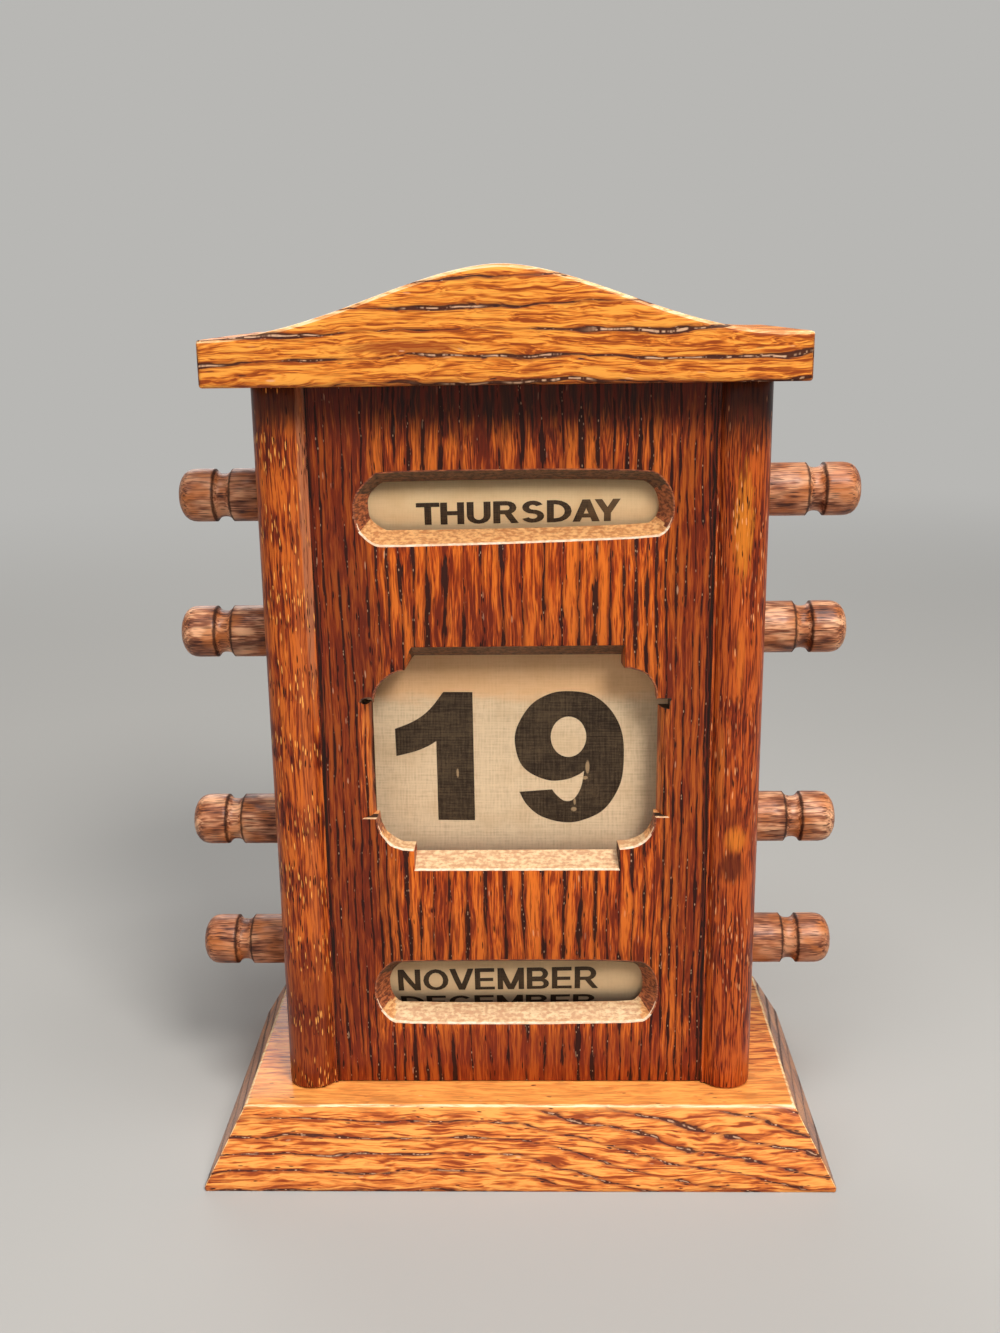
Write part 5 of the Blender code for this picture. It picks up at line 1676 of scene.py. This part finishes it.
@dataclass(frozen=True)
class NameReel:
    """A drum with a printed band: the names of the days or of the months."""

    title: str
    body: str
    names: tuple[str, ...]
    at_rest: str
    cap_height: float
    stretch: float
    middle: float
    top_angle: float
    slope: float
    cloth: Cloth
    ink: Ink
    alphabet: Alphabet
    lift: float = 0.015 * MM
    steps: int = 120

    def build(self) -> list[Piece]:
        """Make the band and its print."""
        band = self.band()
        return [Piece(band, self.body, "linen", (f"{self.title}_name_band",)),
                Piece(self.print_names(), self.body, "linen")]

    def band(self) -> bpy.types.Object:
        """The strip of cloth round the drum."""
        box = Box.of(f"{self.title}_name_band")
        outer, inner = box.size.z / 2, box.size.z / 2 - 0.4 * MM
        profile = ((box.low.x, inner), (box.low.x, outer), (box.high.x, outer), (box.high.x, inner))
        points = [(x, -radius * cos(turn), box.middle.z + radius * sin(turn))
                  for turn in (2 * pi * step / self.steps for step in range(self.steps)) for x, radius in profile]
        faces = []
        for step in range(self.steps):
            start, after = 4 * step, 4 * ((step + 1) % self.steps)
            for corner in range(4):
                other = (corner + 1) % 4
                faces.append((start + corner, start + other, after + other, after + corner))
        piece = mesh_object(f"{self.title}_band", points, faces)
        face_outwards(piece)
        lay_round(piece, box.middle.z)
        piece.data.materials.append(self.cloth.dress(f"{self.title}_cloth"))
        smooth(piece)
        return piece

    def print_names(self) -> bpy.types.Object:
        """All the names, evenly round the drum, with the one at rest in the window."""
        box = Box.of(f"{self.title}_name_band")
        radius = box.size.z / 2 + self.lift
        rest = self.names.index(self.at_rest)
        signs = []
        for index, name in enumerate(self.names):
            top = radians(self.top_angle) - 2 * pi * (index - rest) / len(self.names)
            width, letters = self.alphabet.word(name)
            scale_x, scale_z = self.cap_height * self.stretch, self.cap_height
            lean = sin(radians(self.slope))
            for strokes in letters:
                signs.append(Sign(tuple(
                    [self.placed((x - width / 2) * scale_x, (z - 1) * scale_z, top * radius, lean)
                     for x, z in stroke] for stroke in strokes)))

        def lie(x: float, arc: float) -> Vector:
            """A point of the print on the band."""
            turn = arc / radius
            return Vector((x, -radius * cos(turn), box.middle.z + radius * sin(turn)))

        ink = self.ink.dress(f"{self.title}_ink")
        return Print(f"{self.title}_names", tuple(signs), lie, lambda x, arc: (x, arc), ink).build()

    def placed(self, x: float, z: float, top: float, lean: float) -> Flat:
        """A point of a name at its place on the band, which slopes a little."""
        return self.middle + x, top + z + x * lean


def lay_round(piece: bpy.types.Object, middle_z: float) -> None:
    """Lay cloth coordinates round a piece that is wound about an axis: x, then length of arc."""
    mesh = piece.data
    mapping = mesh.uv_layers.new(name=Cloth.MAP)
    for face in mesh.polygons:
        first = None
        for index in face.loop_indices:
            x, y, z = mesh.vertices[mesh.loops[index].vertex_index].co
            turn = atan2(z - middle_z, -y)
            if first is None:
                first = turn
            turn += 2 * pi * round((first - turn) / (2 * pi))
            mapping.data[index].uv = (x, turn * hypot(y, z - middle_z))


# Date scroll


@dataclass(frozen=True)
class DateScroll:
    """The linen of dates: the stretch behind the window, its number, and what is wound on the two rollers."""

    thickness: float = 0.4 * MM
    gap: float = 0.3 * MM
    wrap: float = radians(60)
    wrap_steps: int = 14
    run_steps: int = 26
    columns: int = 40
    wave: float = 0.14 * MM
    wound_gap: float = 0.08 * MM

    def rolls(self) -> tuple[Box, Box]:
        """The boxes of the upper and the lower roll."""
        return Box.of("upper_linen_roll"), Box.of("lower_linen_roll")

    def path(self) -> list[Flat]:
        """The linen's inner face from top to bottom, as (y, z) pairs."""
        upper, lower = self.rolls()
        upper_r, lower_r = upper.size.z / 2 + self.gap, lower.size.z / 2 + self.gap
        lean = (upper_r - lower_r) / (upper.middle.z - lower.middle.z)
        turns = [self.wrap * (1 - step / self.wrap_steps) - lean for step in range(self.wrap_steps + 1)]
        top = [(-upper_r * cos(turn), upper.middle.z + upper_r * sin(turn)) for turn in turns]
        turns = [-self.wrap * step / self.wrap_steps - lean for step in range(self.wrap_steps + 1)]
        foot = [(-lower_r * cos(turn), lower.middle.z + lower_r * sin(turn)) for turn in turns]
        (y0, z0), (y1, z1) = top[-1], foot[0]
        run = [(y0 + (y1 - y0) * i / self.run_steps, z0 + (z1 - z0) * i / self.run_steps)
               for i in range(1, self.run_steps)]
        return top + run + foot

    def front(self, x: float, z: float) -> Vector:
        """A point of the linen's outer face in the flat stretch between the rolls."""
        upper, lower = self.rolls()
        share = (z - lower.middle.z) / (upper.middle.z - lower.middle.z)
        reach = lower.size.z / 2 + (upper.size.z - lower.size.z) / 2 * share + self.gap + self.thickness
        return Vector((x, -reach + self.slack(x, z), z))

    def slack(self, x: float, z: float) -> float:
        """How far the cloth lies back from its tight plane."""
        upper, lower = self.rolls()
        share = (z - lower.middle.z) / (upper.middle.z - lower.middle.z)
        free = max(0.0, sin(pi * min(1.0, max(0.0, share))))
        return (0.5 + 0.5 * unevenness((x, 0.0, z), 15 * MM, 2.0)) * self.wave * free

    def build(self) -> list[Piece]:
        """Make the stretch in the window, its number and the two rolls."""
        pieces = [Piece(self.stretch(), "case", "linen", ("date_linen",)),
                  Piece(self.number(), "case", "linen")]
        for end in ("upper", "lower"):
            pieces.append(Piece(self.roll(end), f"{end}_date_roller", "linen", (f"{end}_linen_roll",)))
        return pieces

    def stretch(self) -> bpy.types.Object:
        """The linen that runs from roll to roll."""
        upper = self.rolls()[0]
        path = self.path()
        points, lengths = [], [0.0]
        for (y0, z0), (y1, z1) in zip(path, path[1:]):
            lengths.append(lengths[-1] + hypot(y1 - y0, z1 - z0))
        for y, z in path:
            for column in range(self.columns + 1):
                x = upper.low.x + upper.size.x * column / self.columns
                points.append((x, y + self.slack(x, z), z))
        faces = []
        width = self.columns + 1
        for row in range(len(path) - 1):
            for column in range(self.columns):
                start = row * width + column
                faces.append((start, start + width, start + width + 1, start + 1))
        piece = mesh_object("linen_strip", points, faces)
        mapping = piece.data.uv_layers.new(name=Cloth.MAP)
        for loop in piece.data.loops:
            row = loop.vertex_index // width
            mapping.data[loop.index].uv = (points[loop.vertex_index][0], self.rest_top() - lengths[row])
        piece.data.materials.append(WINDOW_LINEN.dress("date_linen_cloth"))
        cloth = piece.modifiers.new("thickness", "SOLIDIFY")
        cloth.thickness = self.thickness
        cloth.offset = 1.0
        settle_modifiers(piece)
        smooth(piece)
        return piece

    def rest_top(self) -> float:
        """The cloth coordinate at which the strip starts, chosen so that it reads as z in the window."""
        upper = self.rolls()[0]
        return upper.middle.z + (upper.size.z / 2 + self.gap) * self.wrap

    def number(self) -> bpy.types.Object:
        """The date in the window, printed as two bold numbers."""
        ink = DATE_INK.dress("date_ink")
        proud = Vector((0.0, -0.03 * MM, 0.0))
        return Print("date_number", (ONE, NINE), lambda x, z: self.front(x, z) + proud, lambda x, z: (x, z),
                     ink, 2.0 * MM).build()

    def roll(self, end: str) -> bpy.types.Object:
        """The linen wound on one roller, made with Geometry Nodes as one spiral strip."""
        box = Box.of(f"{end}_linen_roll")
        outer = box.size.z / 2
        inner = Box.of(f"{end}_date_dowel").size.z / 2 + self.gap
        turns = (outer - inner) / self.thickness - 0.5
        pad = GeometryPad(f"{end}_winding")
        width = pad.ask("Width", box.size.x)
        spiral = pad.node("GeometryNodeCurveSpiral", {}, {
            "Resolution": 40, "Rotations": pad.ask("Turns", turns), "Height": 0.0,
            "Start Radius": pad.ask("Inner Radius", inner + self.wound_gap),
            "End Radius": pad.ask("Outer Radius", outer - self.thickness)})
        line = pad.node("GeometryNodeCurvePrimitiveLine", {}, {
            "Start": pad.join(0.0, width * -0.5, 0.0), "End": pad.join(0.0, width * 0.5, 0.0)})
        level = pad.node("GeometryNodeSetCurveNormal", {"mode": "Z_UP"}, {0: spiral})
        wound = pad.node("GeometryNodeCurveToMesh", {}, {0: level, "Profile Curve": line})
        upright = pad.moved(wound, tuple(box.middle), (0.0, pi / 2, 0.0))
        piece = pad.run(f"{end}_winding", upright, LINEN.dress(f"{end}_roll_cloth"))
        cloth = piece.modifiers.new("thickness", "SOLIDIFY")
        cloth.thickness = self.thickness - self.wound_gap
        cloth.offset = 0.0
        settle_modifiers(piece)
        face_outwards(piece)
        lay_round(piece, box.middle.z)
        smooth(piece)
        length = pi * (outer ** 2 - inner ** 2) / self.thickness
        return piece


# Studio


@dataclass(frozen=True)
class Lamp:
    """A soft rectangular lamp that points at the calendar."""

    name: str
    place: tuple[float, float, float]
    size: tuple[float, float]
    power: float
    colour: Colour = (1.0, 1.0, 1.0)

    def build(self, target: Vector) -> None:
        """Hang the lamp."""
        light = bpy.data.lights.new(self.name, "AREA")
        light.shape = "RECTANGLE"
        light.size, light.size_y = self.size
        light.energy = self.power
        light.color = self.colour
        lamp = add_object(self.name, light)
        lamp.location = self.place
        lamp.rotation_euler = (target - lamp.location).to_track_quat("-Z", "Y").to_euler()


@dataclass(frozen=True)
class Studio:
    """A pale floor, soft lamps and the camera of the photograph."""

    camera_place: tuple[float, float, float] = (4.74 * MM, -329.48 * MM, 207.86 * MM)
    pitch: float = radians(15.0)
    yaw: float = radians(-1.49)
    roll: float = radians(-0.81)
    focal_pixels: float = 1377.05
    long_side_pixels: float = 1333.0
    sensor: float = 36.0
    floor_size: float = 6.0
    ambient: float = 0.12
    backdrop: Colour = shown(184, 183, 180)

    def build(self) -> None:
        """Set up the view, the floor and the light."""
        self.add_camera()
        self.add_floor()
        target = Vector((0.0, 0.0, 0.1))
        for lamp in (
            Lamp("key_lamp", (0.45, -0.85, 1.0), (0.4, 0.4), 14.5, (1.0, 0.98, 0.95)),
            Lamp("fill_lamp", (-0.9, -0.9, 0.8), (0.7, 0.7), 2.8, (0.97, 0.98, 1.0)),
            Lamp("top_lamp", (0.1, -0.3, 1.2), (0.8, 0.35), 8.0),
            Lamp("back_lamp", (-0.3, 1.2, 0.8), (0.8, 0.8), 6.0),
        ):
            lamp.build(target)
        self.add_world()
        bpy.context.scene.view_settings.view_transform = "Standard"

    def add_world(self) -> None:
        """Light the room a little from all sides, in front of a pale backdrop."""
        world = bpy.data.worlds.new("studio")
        bpy.context.scene.world = world
        world.use_nodes = True
        pad = Pad(world.node_tree)
        rays = pad.node("ShaderNodeLightPath", out="Is Camera Ray")
        seen = pad.maths("MAXIMUM", rays, rays.other("Is Glossy Ray"))
        seen = pad.maths("MAXIMUM", seen, rays.other("Is Transmission Ray"))
        strength = self.ambient + seen * (1.0 - self.ambient)
        background = world.node_tree.nodes["Background"]
        background.inputs["Color"].default_value = (*self.backdrop, 1.0)
        world.node_tree.links.new(strength.link, background.inputs["Strength"])

    def add_camera(self) -> None:
        """Place the camera where the photograph was taken from."""
        data = bpy.data.cameras.new("camera")
        data.sensor_width = self.sensor
        data.lens = self.focal_pixels * self.sensor / self.long_side_pixels
        data.clip_start = 0.01
        camera = add_object("camera", data)
        ahead = Vector((sin(self.yaw) * cos(self.pitch), cos(self.yaw) * cos(self.pitch), -sin(self.pitch)))
        right = Vector((cos(self.yaw), -sin(self.yaw), 0.0))
        above = right.cross(ahead)
        turned_right = right * cos(self.roll) + above * sin(self.roll)
        turned_above = above * cos(self.roll) - right * sin(self.roll)
        axes = Matrix((turned_right, turned_above, -ahead)).transposed()
        camera.matrix_world = Matrix.Translation(self.camera_place) @ axes.to_4x4()
        bpy.context.scene.camera = camera

    def add_floor(self) -> None:
        """Lay a plain pale floor."""
        half = self.floor_size / 2
        floor = mesh_object("floor", ((-half, -half, 0), (half, -half, 0), (half, half, 0), (-half, half, 0)),
                            ((0, 1, 2, 3),))
        finish = PaleFloor(shown(184, 182, 178), shown(178, 176, 172))
        floor.data.materials.append(finish.dress("floor_finish", self.backdrop))


DAYS = ("MONDAY", "TUESDAY", "WEDNESDAY", "THURSDAY", "FRIDAY", "SATURDAY", "SUNDAY")
MONTHS = ("JANUARY", "FEBRUARY", "MARCH", "APRIL", "MAY", "JUNE", "JULY", "AUGUST", "SEPTEMBER", "OCTOBER",
          "NOVEMBER", "DECEMBER")


def drawn(*runs: Sequence[Flat], steps: int = 6) -> Outline:
    """A closed outline in metres through runs of points in millimetres, smooth along each run.

    Args:
        runs: one or more stretches; a corner stands where one ends and the next starts.
        steps: how many steps lead from a point to the next.

    Returns:
        The outline's points.
    """
    outline = []
    for run in runs:
        ends = [run[0], *run, run[-1]]
        for before, start, end, after in zip(ends, ends[1:], ends[2:], ends[3:]):
            count = steps if len(run) > 2 else 1
            for step in range(count):
                t = step / count
                outline.append(tuple(MM * 0.5 * (
                    2 * q + (r - p) * t + (2 * p - 5 * q + 4 * r - s) * t ** 2
                    + (3 * q - p - 3 * r + s) * t ** 3) for p, q, r, s in zip(before, start, end, after)))
    return outline


def oval(middle: Flat, radii: Flat, steps: int = 32) -> Outline:
    """An oval in metres about a middle in millimetres."""
    turns = [2 * pi * step / steps for step in range(steps)]
    return [(MM * (middle[0] + radii[0] * cos(turn)), MM * (middle[1] + radii[1] * sin(turn))) for turn in turns]


ONE = Sign((drawn(((-17.2, 116.8), (-10.2, 116.7)), ((-10.2, 116.7), (-10.2, 83.6)), ((-10.2, 83.6), (-19.2, 83.7)),
                  ((-19.2, 83.7), (-19.2, 104.3)), ((-19.2, 104.3), (-21.3, 103.0), (-24.4, 101.7), (-29.0, 100.5)),
                  ((-29.0, 100.5), (-29.1, 107.5)),
                  ((-29.1, 107.5), (-24.4, 109.5), (-20.6, 112.4), (-17.2, 116.8))),))
NINE = Sign((drawn(((0.8, 91.0), (8.8, 91.6)), ((8.8, 91.6), (9.8, 90.2), (11.8, 88.6), (14.0, 89.0), (15.8, 92.0),
                                              (16.6, 96.4)),
                   ((16.6, 96.4), (15.2, 95.4), (12.2, 94.2), (8.0, 94.0), (3.4, 96.0), (0.8, 99.2), (-0.2, 104.6),
                    (0.9, 109.0), (4.0, 113.6), (8.4, 116.2), (13.0, 116.8), (18.4, 115.8), (22.6, 112.4),
                    (25.4, 107.2), (26.2, 100.8), (25.4, 93.0), (21.6, 86.4), (16.0, 83.4), (11.2, 83.0),
                    (6.0, 84.6), (2.6, 87.6), (0.8, 91.0))),),
            (oval((12.8, 105.2), (4.3, 5.2)),))


@dataclass(frozen=True)
class HiddenParts:
    """The drums, collars and pins inside the case, which keep their solids."""

    nodes: tuple[str, ...] = ("day_drum", "month_drum", "upper_left_collar", "upper_right_collar",
                              "lower_left_collar", "lower_right_collar", "roof_pin_front_left",
                              "roof_pin_front_right", "roof_pin_rear_left", "roof_pin_rear_right")

    def dress(self) -> None:
        """Give each solid its finish."""
        for index, node in enumerate(self.nodes):
            wood = replace(BARE_WOOD, years=replace(BARE_WOOD.years, line=0.7 * index))
            solid = frame["nodes"][node]
            if not solid.material_slots:
                solid.data.materials.append(None)
            solid.material_slots[0].material = wood.dress(f"{node}_wood")
            log.info("%s: dressed", node)


def main() -> None:
    """Build the studio and every piece."""
    logging.basicConfig(level=logging.INFO, format="%(message)s")
    Studio().build()
    block = Alphabet()
    lighter = Alphabet(post=0.19, beam=0.15, slant=0.205, space=0.1)
    makers = (
        Plinth(), SideBoard(Side.LEFT, LEFT_BOARD_OAK), SideBoard(Side.RIGHT, RIGHT_BOARD_OAK), FrontPanel(),
        BackPanel(), RoofCrest(), BASE_SCREWS, BACK_SCREWS, *ROWS,
        NameReel("day", "day_reel", DAYS, "THURSDAY", 5.2 * MM, 1.36, 1.0 * MM, 1.0, 0.7, DAY_CLOTH,
                 DAY_INK, block),
        NameReel("month", "month_reel", MONTHS, "NOVEMBER", 6.6 * MM, 1.09, -5.0 * MM, 0.5, 1.0, MONTH_CLOTH,
                 MONTH_INK, lighter),
        DateScroll(),
    )
    for maker in makers:
        for piece in maker.build():
            piece.settle()
    HiddenParts().dress()


if __name__ == "__main__":
    main()
